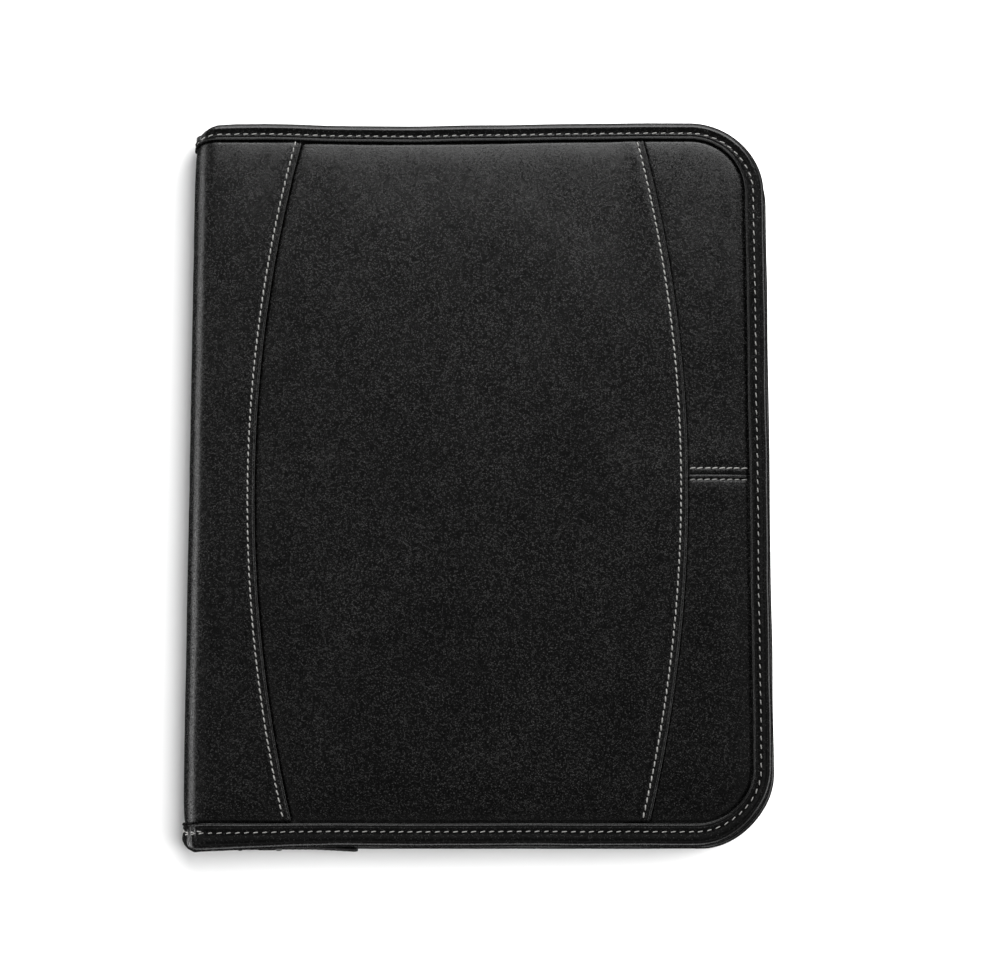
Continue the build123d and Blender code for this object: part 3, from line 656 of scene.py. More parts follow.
def half_binding(name, front):
    """One half of the edge binding, from the middle of the spine at the head round to the foot."""
    edge = FRONT_EDGE if front else BACK_EDGE
    across, y, out = binding_line(edge)
    profile = catmull(FACE_PROFILE, 2, closed=True)
    if not front:
        face = profile[:, 1] < 2.2
        profile[face, 1] = np.maximum(profile[face, 1] + 0.05, 0.0)
    length = mileage(xyz(across, y, 0))
    inset = np.broadcast_to(profile[:, 0], (len(across), len(profile)))
    depth = np.broadcast_to(profile[:, 1], inset.shape)
    groove = bell(inset, STITCH_INSET, 0.9) * (depth < 2)
    depth = depth + 0.14 * groove * (0.5 + 0.5 * np.cos(2 * math.pi * length[:, None] / BINDING_PITCH))
    if not front:
        depth = np.maximum(depth, 0.0)
    depth = depth + pucker(across[:, None], front, y[:, None], inset, depth) * (1.0 if front else 0.6)
    sections = binding_points(front, inset, depth, across, y, out, length)
    piece = solid(name, sections, TRIM)

    def row_at(depth):
        inset = np.full((len(across), 1), STITCH_INSET)
        return binding_points(front, inset, np.full(inset.shape, depth), across, y, out, length)[:, 0]

    row_depth = 0.42 if front else 0.7
    line, lower = row_at(row_depth), row_at(row_depth + 1)
    threads = [stitch_parts(line, line - lower, BINDING_PITCH, 2.75, 0.25, lift=0.3 if front else 0.2)]
    foot = line[-17:] + (0, 0.9, 0)
    threads.append(stitch_parts(foot, (line - lower)[-17:], 3.3, lift=0.34 if front else 0.2, slant=-0.25))
    under, above = row_at(RIM - 0.12), row_at(RIM - 1.12)
    threads.append(stitch_parts(under, under - above, 3.7, lift=0.24, start=24, end=24))
    return piece, make_joined(name + "_stitches", threads, THREAD)


def fold_blend(piece):
    """Bakes a piece's placement into its mesh, leaving its shape as built."""
    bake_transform(piece)


for side, spine_node in (("front", "spine_binding_head"), ("back", "spine_binding_foot")):
    binding, stitches = half_binding(f"{side}_edge_binding", side == "front")
    fold_blend(binding)
    fold_blend(stitches)
    stand_in(binding, f"{side}_binding", spine_node)


# ---- front panels --------------------------------------------------------------------------------------
PANEL_START = FOLD_X - 6  # where the cover's crown begins beside the fold


def simulated_puff():
    """Heights of a cloth sheet, held down along the seams and rim and lifted between them, on a grid."""
    step, frames, lift = 4.0, 24, 9.8
    xs = np.arange(PANEL_START, FRONT_EDGE - LIP + 0.1, step)
    ys = np.arange(-(HALF - LIP), HALF - LIP + 0.1, step)
    gx, gy = np.meshgrid(xs, ys, indexing="ij")
    from_seam = np.minimum(np.abs(gx - seam_x(*LEFT_SEAM, gy)),
                           np.abs(gx - seam_x(*RIGHT_SEAM, gy)))
    mouth = np.where(gx > seam_x(*RIGHT_SEAM, gy), np.abs(gy - MOUTH_Y), 99.0)
    rim = inset_of(gx, gy, FRONT_EDGE) - LIP
    held = np.minimum.reduce([from_seam, mouth, rim, gx - PANEL_START])
    sheet = make("puff_sheet", xyz(gx, gy, 0), grid_faces(len(xs), len(ys)), PANEL)
    group = sheet.vertex_groups.new(name="held")
    for index, distance in enumerate(held.ravel()):
        group.add([index], float(1 - smooth(1.5, 6.0, distance)), "REPLACE")
    cloth = sheet.modifiers.new("cloth", "CLOTH")
    cloth.settings.vertex_group_mass = "held"
    cloth.settings.quality = 6
    cloth.settings.tension_stiffness = cloth.settings.compression_stiffness = 25
    cloth.settings.bending_stiffness = 4
    cloth.settings.shrink_min = -0.002
    cloth.collision_settings.use_collision = False
    cloth.point_cache.frame_end = frames
    scene = bpy.context.scene
    scene.gravity = (0, 0, lift)
    for number in range(frames):
        scene.frame_set(number + 1)
    evaluated = sheet.evaluated_get(bpy.context.evaluated_depsgraph_get())
    heights = np.array([v.co.z for v in evaluated.data.vertices]).reshape(gx.shape)
    scene.gravity = (0, 0, -lift)
    scene.frame_set(1)
    bpy.data.objects.remove(sheet)
    return xs, ys, heights / max(1e-9, np.percentile(heights, 98))


PUFF_X, PUFF_Y, PUFF = simulated_puff()


def puff(x, y):
    """The simulated lift at any place on the front, from 0 along the seams to about 1."""
    x, y = np.broadcast_arrays(np.asarray(x, float), np.asarray(y, float))
    fx = np.clip((x - PUFF_X[0]) / (PUFF_X[1] - PUFF_X[0]), 0, len(PUFF_X) - 1.001)
    fy = np.clip((y - PUFF_Y[0]) / (PUFF_Y[1] - PUFF_Y[0]), 0, len(PUFF_Y) - 1.001)
    i, j = fx.astype(int), fy.astype(int)
    u, v = smooth(0, 1, fx - i) * 0.5 + (fx - i) * 0.5, smooth(0, 1, fy - j) * 0.5 + (fy - j) * 0.5
    return (PUFF[i, j] * (1 - u) * (1 - v) + PUFF[i + 1, j] * u * (1 - v)
            + PUFF[i, j + 1] * (1 - u) * v + PUFF[i + 1, j + 1] * u * v)


UP = np.array([0.0, 0.0, 1.0])
RIM_SLOPE = 6.0  # the distance over which the leather rises from the binding's lip
SURFACE = Wobble(21, 55, 0.16, 9)
CREASES = Wobble(22, 17, 0.05, 9)


def gap(distance, deep=1.3, wide=0.75):
    """The dark crevice where a panel dives under a folded edge or the binding's lip."""
    return deep * bell(np.maximum(distance, 0), 0, wide)


def ground(x, y, lift=0.55, flat_mouth=0.0):
    """Depth of the front's outside surface before its layers: lowest beside the binding's lip."""
    raised = np.maximum(puff(x, y), flat_mouth * puff(x, y - 28) * bell(y, MOUTH_Y, 24))
    inset = inset_of(x, y, FRONT_EDGE) - LIP - lip_reach(y, LIP) - head_sag(x, y)
    at_rim = (1.5 - 0.5 * smooth(130, 155, y)) * fading(inset, RIM_SLOPE) + gap(inset - 0.6, 1.1)
    return at_rim - lift * raised - SURFACE.at(x, y) - CREASES.at(x, y)


def row_inset(y, middle):
    """How far a seam's stitches run from its folded edge: a little closer towards the head."""
    return middle - 0.25 * np.asarray(y, float) / SEAM_HALF_SPAN


def row_groove(distance, along_row, depth=0.45, width=0.8):
    """The dent that a row of stitches draws into the leather."""
    beat = 0.75 + 0.25 * np.cos(2 * math.pi * np.asarray(along_row) / SEAM_PITCH)
    return depth * bell(distance, 0, width) * beat + 0.25 * bell(distance, 0, 2.6)


def layer(distance, thickness=1.15, settle=10.0, far=0.35):
    """How far a panel stands over its neighbour, by the distance back from its beaded, folded edge."""
    distance = np.maximum(distance, 0)
    return thickness * (far + (1 - far) * bell(distance, 0, settle)) - 0.5 * bell(distance, 0.82, 0.36)


def curled(points, outward, up=UP, roll=FOLD_ROLL, tuck=3.0):
    """Rows of points that carry a border row round a folded edge and back underneath."""
    rows = []
    for angle in np.linspace(0, math.pi, 8)[1:]:
        rows.append(points + roll * math.sin(angle) * outward - roll * (1 - math.cos(angle)) * up)
    rows.append(points - tuck * outward - 2 * roll * up)
    return rows


def sheet_mesh(name, rows, material, flip=False):
    """A mesh from rows of points, each row the same length."""
    grid = np.stack(rows)
    return make(name, grid, grid_faces(grid.shape[0], grid.shape[1], flip=flip), material)


Y_LINES = spaced(-(HALF - LIP + TUCK), HALF - LIP + TUCK, 0.28, 0.28, 1.2)


def seam_outward(x, bow, y):
    """The plan direction square to a seam, pointing to +X."""
    return unit(xyz(1, seam_x(x, bow, y - 0.5) - seam_x(x, bow, y + 0.5), 0))


def rim_limited(y, across):
    """Pulls heights in where the rim dips round the spine."""
    return y * (HALF - spine_dip(across, y, LIP)) / HALF


def free_depth(panel, x, y):
    """Depth of a front panel's surface, with its folded edge, stitch groove and crevices."""
    left, right = seam_x(*LEFT_SEAM, y), seam_x(*RIGHT_SEAM, y)
    if panel == "spine_side":
        row = row_groove(left - x - row_inset(y, SEAM_ROW), y)
        return ground(np.maximum(x, PANEL_START), y) + row - layer(left - x)
    if panel == "center":
        row = row_groove(right - x - row_inset(y, SEAM_ROW), y)
        under = gap(x - left, 0.9, 0.85) + 0.8 * fading(x - left, 2) + 0.3 * fading(x - left, 6)
        return ground(x, y, lift=0.9) + row + under - layer(right - x, settle=9.0, far=0.0)
    from_mouth = y - MOUTH_Y
    depth = ground(x, y, lift=0.5, flat_mouth=float(panel == "pocket"))
    depth = depth + gap(x - right) + 0.3 * fading(x - right, 4)
    if panel == "upper":
        rolled = 0.5 * fading(from_mouth - 0.9, 1.6) * smooth(0.5, 0.9, from_mouth)
        row = row_groove(from_mouth - ROW_OVER_MOUTH, x, 0.3, 0.6)
        return depth + row + rolled - layer(from_mouth, 0.9, 16.0)
    return depth + row_groove(from_mouth - ROW_UNDER_MOUTH, x, 0.3, 0.5) + gap(-from_mouth, 0.9, 0.45)


def panel_depth(panel, x, y):
    """The same, kept clear of the board below."""
    return np.minimum(free_depth(panel, x, y), BOARD_TOP - 0.15)


def on_front(panel, x, y):
    """Points on a front panel's surface."""
    return xyz(x, y, THICK - panel_depth(panel, x, y))


# the panel beside the spine, from the middle of the spine to its folded edge over the center panel
left_edge = seam_x(*LEFT_SEAM, Y_LINES)
columns = []
for t in spaced(0.0, 1.0, 0.014, 0.0045, 0.02):
    across = MID + (left_edge - MID) * t
    y = rim_limited(Y_LINES, across)
    flat = smooth(FOLD_X - 3, FOLD_X + 14, across)
    inset = HALF - np.abs(Y_LINES) - LIP - lip_reach(Y_LINES, LIP) - head_sag(across, Y_LINES)
    at_spine = 0.8 * fading(inset, RIM_SLOPE) + gap(inset - 0.6, 0.9)
    depth = panel_depth("spine_side", across, Y_LINES) * flat \
        + (1 - flat) * (at_spine - SURFACE.at(across, y) * 0.8 - CREASES.at(across, y) * 1.5)
    columns.append(wrap(across, y, depth))
columns += curled(columns[-1], seam_outward(*LEFT_SEAM, Y_LINES))
spine_side = sheet_mesh("spine_side_panel_leather", columns, PANEL)

# the center panel, under the first one and folded over the two on the right
right_edge = seam_x(*RIGHT_SEAM, Y_LINES)
columns = []
start = left_edge - UNDERLAP
for t in spaced(0.0, 1.0, 0.0014, 0.0012, 0.009, 0.05):
    columns.append(on_front("center", start + (right_edge - start) * t, Y_LINES))
columns += curled(columns[-1], seam_outward(*RIGHT_SEAM, Y_LINES))
center = sheet_mesh("center_panel_leather", columns, CENTER)


def right_panel(name, panel, y_low, y_high):
    """One of the two panels on the right. The folded one laps over the other along the pocket's mouth."""
    lines = spaced(y_low, y_high, 0.25, 0.25, 1.25)
    outer = FRONT_EDGE - CORNER_R + corner_reach(np.abs(lines) - (HALF - CORNER_R), CORNER_R - LIP + TUCK)
    start = seam_x(*RIGHT_SEAM, lines) - UNDERLAP
    share = spaced(0.0, 1.0, 0.008, 0.008, 0.03)
    rows = [on_front(panel, left + (right - left) * share, y)
            for y, left, right in zip(lines, start, outer)]
    if panel == "upper":
        rows = curled(rows[0], np.array([0.0, -1.0, 0.0]))[::-1] + rows
    return sheet_mesh(name, rows, PANEL, flip=True)


CORNER_Y = HALF - LIP + TUCK - 0.01
upper_side = right_panel("upper_side_panel_leather", "upper", MOUTH_Y, CORNER_Y)
pen_pocket = right_panel("pen_pocket_leather", "pocket", -CORNER_Y, MOUTH_Y + 2.0)

stand_in(spine_side, "front_spine_side_panel", "spine_leather")
fold_blend(spine_side)
stand_in(center, "front_center_panel", "front_foam", body="front_cover")
stand_in(upper_side, "front_upper_side_panel", body="front_cover")
stand_in(pen_pocket, "front_pen_pocket_panel", "front_pen_pocket_lining", body="front_cover")


def seam_row(seam, panel):
    """Threads beside a seam's folded edge, from the head to the foot."""
    y = np.linspace(HALF - LIP - 1.1, -(HALF - LIP - 1.3), 900)
    line = on_front(panel, seam_x(*seam, y) - row_inset(y, SEAM_ROW), y)
    return stitch_parts(line, UP, SEAM_PITCH, 2.45, lift=0.42, start=0.4, end=0.4)


def mouth_row(y, panel):
    """Threads along the pen pocket's mouth, from the seam to the binding."""
    line = on_front(panel, np.linspace(seam_x(*RIGHT_SEAM, y) + 0.9, FRONT_EDGE - LIP - 0.5, 120), y)
    return stitch_parts(line, UP, 3.4, 2.7, lift=0.42, start=0.2, end=0.0)


rows = [seam_row(LEFT_SEAM, "spine_side"), seam_row(RIGHT_SEAM, "center"),
        mouth_row(MOUTH_Y + ROW_OVER_MOUTH, "upper"), mouth_row(MOUTH_Y + ROW_UNDER_MOUTH, "pocket")]
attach(make_joined("front_seam_stitches", rows, THREAD), "front_cover")

# ---- back leather: one panel from the middle of the spine to the open edge ------------------------------
columns = []
flat_start = FOLD_X + 6
for across in two_paced(MID, flat_start, BACK_EDGE - LIP + TUCK, 36, 120):
    limit = HALF - CORNER_R + corner_reach(across - (BACK_EDGE - CORNER_R), CORNER_R - LIP + TUCK)
    y = np.linspace(-limit, limit, 200)
    inset = np.where(across > flat_start, inset_of(across, y, BACK_EDGE), HALF - np.abs(y)) - LIP
    depth = 0.21 + 0.75 * fading(inset, RIM_SLOPE) + 0.8 * np.clip(-inset, 0, 1)
    depth += 0.5 * SURFACE.at(across + 0 * y, y + 300)
    columns.append(wrap(across, rim_limited(y, across), np.maximum(depth, BACK_CLEAR), False))
back_leather = sheet_mesh("back_cover_leather", columns, PANEL, flip=True)
stand_in(back_leather, "back_panel", "back_foam", "spine_foam", "spine_stiffener")
fold_blend(back_leather)


# ---- linings and boards --------------------------------------------------------------------------------
def lining(side, *nodes):
    """The cloth inside a cover, running on round the fold to the middle of the spine."""
    front = side == "front"
    edge, tuck = FRONT_EDGE if front else BACK_EDGE, 0.2
    drape = Wobble(31 if front else 32, 40, 0.12, 7)
    columns = []
    for across in two_paced(MID, FOLD_X + 8, edge - LIP + tuck, 40, 110):
        limit = HALF - CORNER_R + corner_reach(across - (edge - CORNER_R), CORNER_R - LIP + tuck)
        y = np.linspace(-limit, limit, 150)
        depth = INSIDE + 0.5 * drape.at(across + 0 * y, y) * smooth(FOLD_X, FOLD_X + 10, across)
        columns.append(wrap(across, rim_limited(y, across), depth, front))
    piece = sheet_mesh(f"{side}_lining_cloth", columns, LINING, flip=not front)
    fold_blend(piece)
    stand_in(piece, *nodes)


lining("front", "front_lining", "spine_lining")
lining("back", "back_lining")


def binder_board(side, edge):
    """The board inside a cover: straight by the fold, rounded at its two outer corners, edges eased."""
    low, high = box_mm(f"{side}_board")
    inset, ease = 3.2, 0.3
    radius = CORNER_R - inset
    rings = []
    for z, shrink in ((low[2], ease), (low[2] + ease, 0.0), (high[2] - ease, 0.0), (high[2], ease)):
        x0, x1, y1 = low[0] + shrink, edge - inset - shrink, HALF - inset - shrink
        turn = np.linspace(0, math.pi / 2, 24)
        cx, cy = x1 - radius, y1 - radius
        ring = [(x0, -y1, z)]
        ring += [(cx + radius * math.sin(t), -cy - radius * math.cos(t), z) for t in turn]
        ring += [(cx + radius * math.cos(t), cy + radius * math.sin(t), z) for t in turn]
        rings.append(ring + [(x0, y1, z)])
    piece = solid(f"{side}_binder_board", rings, BOARD, is_smooth=False)
    stand_in(piece, f"{side}_board", body=f"{side}_cover")


binder_board("front", FRONT_EDGE)
binder_board("back", BACK_EDGE)

# ---- zip -----------------------------------------------------------------------------------------------
tape_low, tape_high = box_mm("back_zip_tape")
chain_low, chain_high = box_mm("back_zip_chain")
front_chain_low = box_mm("front_zip_chain")[0][2]
TAPE_INSET = BACK_EDGE - tape_high[0]
ZIP_LEFT = tape_low[0]


def zip_line(inset, step):
    """The zip from its head end round to its foot end: points, directions along it and outward."""
    radius = CORNER_R - inset
    cx, cy = BACK_EDGE - CORNER_R, HALF - CORNER_R
    sin, cos = (f(np.linspace(0, math.pi / 2, 60)) for f in (np.sin, np.cos))
    legs = (xyz(np.linspace(ZIP_LEFT, cx, 200), HALF - inset, 0),
            xyz(cx + radius * sin, cy + radius * cos, 0),
            xyz(BACK_EDGE - inset, np.linspace(cy, -cy, 200), 0),
            xyz(cx + radius * cos, -cy - radius * sin, 0),
            xyz(np.linspace(cx, ZIP_LEFT, 200), inset - HALF, 0))
    path = np.concatenate([legs[0], *(leg[1:] for leg in legs[1:])])
    place = np.arange(0, mileage(path)[-1], step)
    tangent = unit(along(path, place + 0.2) - along(path, place - 0.2))
    return along(path, place), tangent, xyz(-tangent[:, 1], tangent[:, 0], 0)


def coil(name, front):
    """A row of nylon coil loops standing on the tape's edge, with a cord running through them."""
    pitch = 1.55
    points, tangent, out = zip_line(TAPE_INSET + 0.3, pitch)
    if front:
        keep = ~((points[:, 1] < 0) & (points[:, 0] < FREE_X))
        points, tangent, out = points[keep], tangent[keep], out[keep]
        points = points + tangent * pitch * 0.5
    base = front_chain_low + 2.6 if front else chain_low[2]
    tip = MID_Z + 0.3 if front else MID_Z - 0.3
    sign = -1 if front else 1
    height = (tip - base) * sign
    shape = np.array([  # one loop: (outward, share of its height, along the zip)
        (0.86, 0.1, -0.3), (0.92, 0.45, -0.2), (0.88, 0.78, -0.05), (0.5, 0.96, 0.0), (0.0, 1.0, 0.0),
        (-0.5, 0.96, 0.05), (-0.88, 0.78, 0.1), (-0.92, 0.45, 0.3), (-0.86, 0.1, 0.5)])
    loops = points[:, None] + out[:, None] * shape[:, 0:1] + tangent[:, None] * shape[:, 2:3] * 0.6
    loops[..., 2] = base + sign * height * shape[:, 1]
    cord = xyz(points[:, 0], points[:, 1], base + sign * height * 0.35)
    return make_joined(name, [tubes(loops, 0.36), tubes(cord[None], 0.5, sides=8)], COIL)


FREE_X = box_mm("slider_body")[1][0] + 0.6


def tape(name, front):
    """The woven tape: a hem lying on the rim and a wall standing up to the coil, with a selvedge rib."""
    points, tangent, out = zip_line(TAPE_INSET, 2.0)
    wave = Wobble(41 if front else 42, 45, 0.1)
    ripple = wave.at(np.arange(len(points)) * 2.0)[:, None]
    base = THICK - RIM if front else RIM
    top = front_chain_low + 2.2 if front else chain_low[2] + 0.4
    sign = -1 if front else 1
    rise = abs(top - base)
    section = [(-3.9, 0.02), (-3.9, 0.55), (-1.2, 0.6), (-0.62, 1.0),
               (-0.62, rise * 0.5), (-0.62, rise - 0.5),
               (-0.75, rise - 0.3), (-0.75, rise), (0.1, rise), (0.1, rise - 0.3), (0.0, rise - 0.5),
               (0.0, rise * 0.5), (0.0, 0.5), (-0.05, 0.02)]
    free = (points[:, 1] < 0) & (points[:, 0] < FREE_X)  # past the slider, where the zip is open
    sections = []
    for outward, up in section:
        line = points + out * (outward + ripple * (1 if up > 1 else 0.3))
        line[:, 2] = base + sign * (np.where(free, min(up, base - (MID_Z + 5.3)), up) if front else up)
        sections.append(line)
    piece = solid(name, np.stack(sections, 1), TAPE)
    row = (points + out * 0.02)[4:-4]
    row[:, 2] = base + sign * 1.25
    threads = stitch_parts(row, out[4:-4], 2.6, 1.9, radius=0.18, lift=0.12)
    return piece, make(name + "_stitches", *threads, DARK_THREAD)


for is_front in (True, False):
    side = "front" if is_front else "back"
    cloth_tape, tape_stitches = tape(f"{side}_zip_tape_cloth", is_front)
    stand_in(cloth_tape, f"{side}_zip_tape", body=f"{side}_cover")
    stand_in(coil(f"{side}_zip_coil", is_front), f"{side}_zip_chain", body=f"{side}_cover")
    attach(tape_stitches, f"{side}_cover")


def oblong(x0, x1, z0, z1):
    return [(x0, z0), (x1, z0), (x1, z1), (x0, z1)]


def rounded_plate(outline, place, thickness, bevel=0.35, corner=1.0):
    """A plate from an outline in the XZ plane at y = place, rounded at its corners and along its edges."""
    bm = bmesh.new()
    face = bm.faces.new([bm.verts.new((x * MM, 0, z * MM)) for x, z in outline])
    bmesh.ops.bevel(bm, geom=[v for v in bm.verts], offset=corner * MM, segments=4, affect="VERTICES")
    grown = bmesh.ops.extrude_face_region(bm, geom=list(bm.faces))
    moved = [e for e in grown["geom"] if isinstance(e, bmesh.types.BMVert)]
    bmesh.ops.translate(bm, verts=moved, vec=(0, thickness * MM, 0))
    bmesh.ops.recalc_face_normals(bm, faces=bm.faces)
    ring = [e for e in bm.edges if len(e.link_faces) == 2 and e.calc_face_angle(0) > 1.2]
    bmesh.ops.bevel(bm, geom=ring, offset=bevel * MM, segments=3, affect="EDGES")
    verts = np.array([v.co for v in bm.verts]) / MM + (0, place, 0)
    faces = [[v.index for v in f.verts] for f in bm.faces]
    bm.free()
    return verts, faces


# ---- slider and pull -----------------------------------------------------------------------------------
slider_low, slider_high = box_mm("slider_body")
mid_x, mid_y, _ = (slider_low + slider_high) / 2
half_len, _, half_high = (slider_high - slider_low) / 2
shoulders = [(-half_len, -half_high), (half_len * 0.1, -half_high), (half_len * 0.75, -half_high + 1.3),
             (half_len, -half_high + 1.5), (half_len, half_high - 1.5), (half_len * 0.75, half_high - 1.3),
             (half_len * 0.1, half_high), (-half_len, half_high)]
outline = [(mid_x + x, MID_Z + z) for x, z in shoulders]
wall = 1.3
plate_parts = [rounded_plate(outline, y, wall) for y in (slider_low[1], slider_high[1] - wall)]
for side in (-1, 1):
    for end in (-1, 1):  # the flanges that hold the coils
        z0, z1 = sorted((MID_Z + end * (half_high - 0.1), MID_Z + end * (half_high - 0.95)))
        flange = oblong(slider_low[0] + 2, mid_x + half_len * 0.1, z0, z1)
        plate_parts.append(rounded_plate(flange, mid_y + side - 0.4, 0.8, bevel=0.12, corner=0.2))
neck = oblong(slider_low[0] + 0.2, slider_low[0] + 3.0, MID_Z - 0.25, MID_Z + 0.25)
plate_parts.append(rounded_plate(neck, mid_y - 1.6, 3.2, bevel=0.05, corner=0.1))
stand_in(make_joined("zip_slider_body", plate_parts, ENAMEL, outward=True), "slider_body", body="zip_slider")

link_low, link_high = box_mm("pull_link")
bridge_low, bridge_high = box_mm("slider_bridge")
pin_x, pin_y = mid_x, link_low[1] + 1.6
pull_half = (link_high[2] - link_low[2]) / 2


def lug(z0, z1):
    """One ear of the bridge, a rounded tab from the slider's face out round the pin."""
    angle = np.linspace(-math.pi, 0, 13)
    tab_x = np.r_[pin_x + 1.2 * np.cos(angle), pin_x + 1.9, pin_x - 1.9]
    tab_y = np.r_[pin_y + 1.2 * np.sin(angle), slider_low[1] + 0.3, slider_low[1] + 0.3]
    centre_y, chamfer, shrink = pin_y + 0.5, 0.15, 0.85
    sections = []
    for z, grow in ((z0, shrink), (z0 + chamfer, 1.0), (z1 - chamfer, 1.0), (z1, shrink)):
        sections.append(xyz(pin_x + (tab_x - pin_x) * grow, centre_y + (tab_y - centre_y) * grow, z))
    return ring_with_caps(sections)


ACROSS = (1.0, 0.0, 0.0)
pin_line = xyz(pin_x, pin_y, np.linspace(bridge_low[2] - 0.1, bridge_high[2] + 0.1, 6))
pin = tubes(pin_line[None], 0.6, sides=16, taper=0.2, side_dir=ACROSS)
lugs = [lug(bridge_low[2], bridge_low[2] + 1), lug(bridge_high[2] - 1, bridge_high[2])]
bridge = make_joined("slider_bridge_metal", [*lugs, pin], ENAMEL, outward=True)
stand_in(bridge, "slider_bridge", body="zip_slider")

# the pull's wire link: a flattened loop round the pin, then two rails to a cross bar inside the strap
WIRE_R = 0.55
rail = pull_half - 0.7
link_parts = []
for z in (MID_Z - rail, MID_Z + rail):
    turn = np.linspace(0.35, 2 * math.pi - 0.35, 20)
    eye = xyz(pin_x + 1.3 * np.cos(turn), pin_y + 1.3 * np.sin(turn), z)
    link_parts.append(tubes(eye[None], 0.42, sides=8))
    run = xyz(np.linspace(pin_x + 1.2, pin_x + 15.2, 12), pin_y, z)
    link_parts.append(tubes(run[None], WIRE_R, sides=8))
for x in (pin_x + 1.6, pin_x + 8.4, pin_x + 15.0):
    bar = xyz(x, pin_y, np.linspace(MID_Z - rail - 0.4, MID_Z + rail + 0.4, 8))
    link_parts.append(tubes(bar[None], WIRE_R, sides=8, taper=0.25, side_dir=ACROSS))
stand_in(make_joined("pull_wire_link", link_parts, ENAMEL, outward=True), "pull_link", body="zip_pull")

STRAP_END = box_mm("pull_strap")[1][0]
STRAP_START = pin_x + 7.2  # just short of the link's middle bar
STRAP_CURL = 21.0  # how much of its end curls
STRAP_FACE = [  # (share of half its width, share of half its thickness)
    (-0.97, 0.65), (-0.86, 0.95), (-0.72, 0.86), (-0.5, 1.0), (0, 1.04),
    (0.5, 1.0), (0.72, 0.86), (0.86, 0.95), (0.97, 0.65)]
STRAP_SECTION = [(-1, 0.0), *STRAP_FACE, (1, 0.0), *((s, -t) for s, t in STRAP_FACE[::-1])]


def strap_line(x):
    """The strap's middle: in line with the link, then curling a little away from the case."""
    return pin_y - 0.15 - 1.15 * np.maximum(0, (x - (STRAP_END - STRAP_CURL)) / STRAP_CURL) ** 1.4


def strap_sections():
    """A leather strap folded round the link's bar and stitched to itself, with a square rounded end."""
    rows = []
    for x in np.linspace(STRAP_START, STRAP_END, 60):
        end = smooth(STRAP_END - 1.4, STRAP_END, x)
        start = 1 - smooth(STRAP_START, STRAP_START + 1.4, x)
        half_h = pull_half * (1 - 0.16 * end**2 - 0.1 * start)
        half_t = (1.3 - 0.35 * smooth(pin_x + 14, pin_x + 20, x)) * (1 - 0.45 * end - 0.35 * start)
        rows.append([(x, strap_line(x) - t * half_t, MID_Z + s * half_h) for s, t in STRAP_SECTION])
    return rows


stand_in(solid("pull_strap_leather", strap_sections(), TRIM), "pull_strap", body="zip_pull")
threads = []
for face in (-1, 1):
    for level in (-0.62, 0.62):
        x = np.linspace(pin_x + 9.5, STRAP_END - 1.2, 60)
        line = xyz(x, strap_line(x) + face * 0.82, MID_Z + level * pull_half)
        threads.append(stitch_parts(line, (0.0, face, 0.0), 2.9, 2.0, radius=0.17, lift=0.08))
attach(make_joined("pull_strap_stitches", threads, DARK_THREAD), "zip_pull")

rivet_x, rivet_r = pin_x + 17.5, 1.75
around = np.linspace(0, 2 * math.pi, 24, endpoint=False)
dome = []
for t in np.linspace(0, math.pi / 2, 7):
    dome.append(xyz(rivet_x + 0.02 + rivet_r * math.cos(t) * np.cos(around),
                    strap_line(rivet_x) - 1.0 - 0.75 * math.sin(t),
                    MID_Z + (rivet_r * math.cos(t) + 0.02) * np.sin(around)))
stand_in(solid("pull_rivet_dome", dome, NICKEL), "pull_rivet", body="zip_pull")

for end in ("head", "foot"):
    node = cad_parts[f"zip_stop_{end}"]
    node.data.materials.clear()
    node.data.materials.append(ALLOY)


# ---- inside the case -----------------------------------------------------------------------------------
def slab(low, high, radius, corners=6):
    """A closed slab with rounded plan corners and softly rounded edges; points, faces."""
    (x0, y0, z0), (x1, y1, z1) = low, high
    edge = min(0.3, (z1 - z0) * 0.35)
    levels = [(z0, edge), (z0 + edge * 0.3, edge * 0.3), (z0 + edge, 0.0), (z1 - edge, 0.0),
              (z1 - edge * 0.3, edge * 0.3), (z1, edge)]
    rings = []
    for z, inset in levels:
        ring = []
        for cx, cy, a0 in ((x1 - radius, y1 - radius, 0), (x0 + radius, y1 - radius, 90),
                           (x0 + radius, y0 + radius, 180), (x1 - radius, y0 + radius, 270)):
            for a in np.radians(np.linspace(a0, a0 + 90, corners)):
                ring.append((cx + (radius - inset) * math.cos(a), cy + (radius - inset) * math.sin(a), z))
        rings.append(ring)
    return ring_with_caps(rings)


pad_low, pad_high = box_mm("pad_sheets")
card_low, card_high = box_mm("pad_backing")
head_low, head_high = box_mm("pad_head_binding")

leaves = []
stack = np.linspace(pad_low[2], pad_high[2], 13)
for z0, z1 in zip(stack[:-1], stack[1:]):
    dx, dy = rng.normal(0, 0.13, 2)
    low = (pad_low[0] + 0.3 + dx, pad_low[1] + 0.4 + dy, z0 + 0.01)
    high = (pad_high[0] - 0.3 + dx, pad_high[1] - 0.05, z1 - 0.01)
    leaves.append(slab(low, high, 0.6, corners=3))
PAPER = ruled_paper("ruled_paper", pad_high[1], pad_low[0])
pad = make_joined("pad_leaves", leaves, PAPER, outward=True, is_smooth=False)
nx, ny = 60, 80
u, v = np.meshgrid(np.linspace(0, 1, nx), np.linspace(0, 1, ny), indexing="ij")
leaf_width, leaf_height = pad_high[0] - pad_low[0] - 0.8, pad_high[1] - pad_low[1] - 3.0
top_x, top_y = pad_low[0] + 0.4 + leaf_width * u, pad_low[1] + 0.5 + leaf_height * v
curl = 1.5 * (smooth(0.55, 1, u) * smooth(0.5, 0, v)) ** 2
lift = 0.1 + 0.25 * Wobble(51, 120, 1.0).at(top_x, top_y) ** 2 + curl
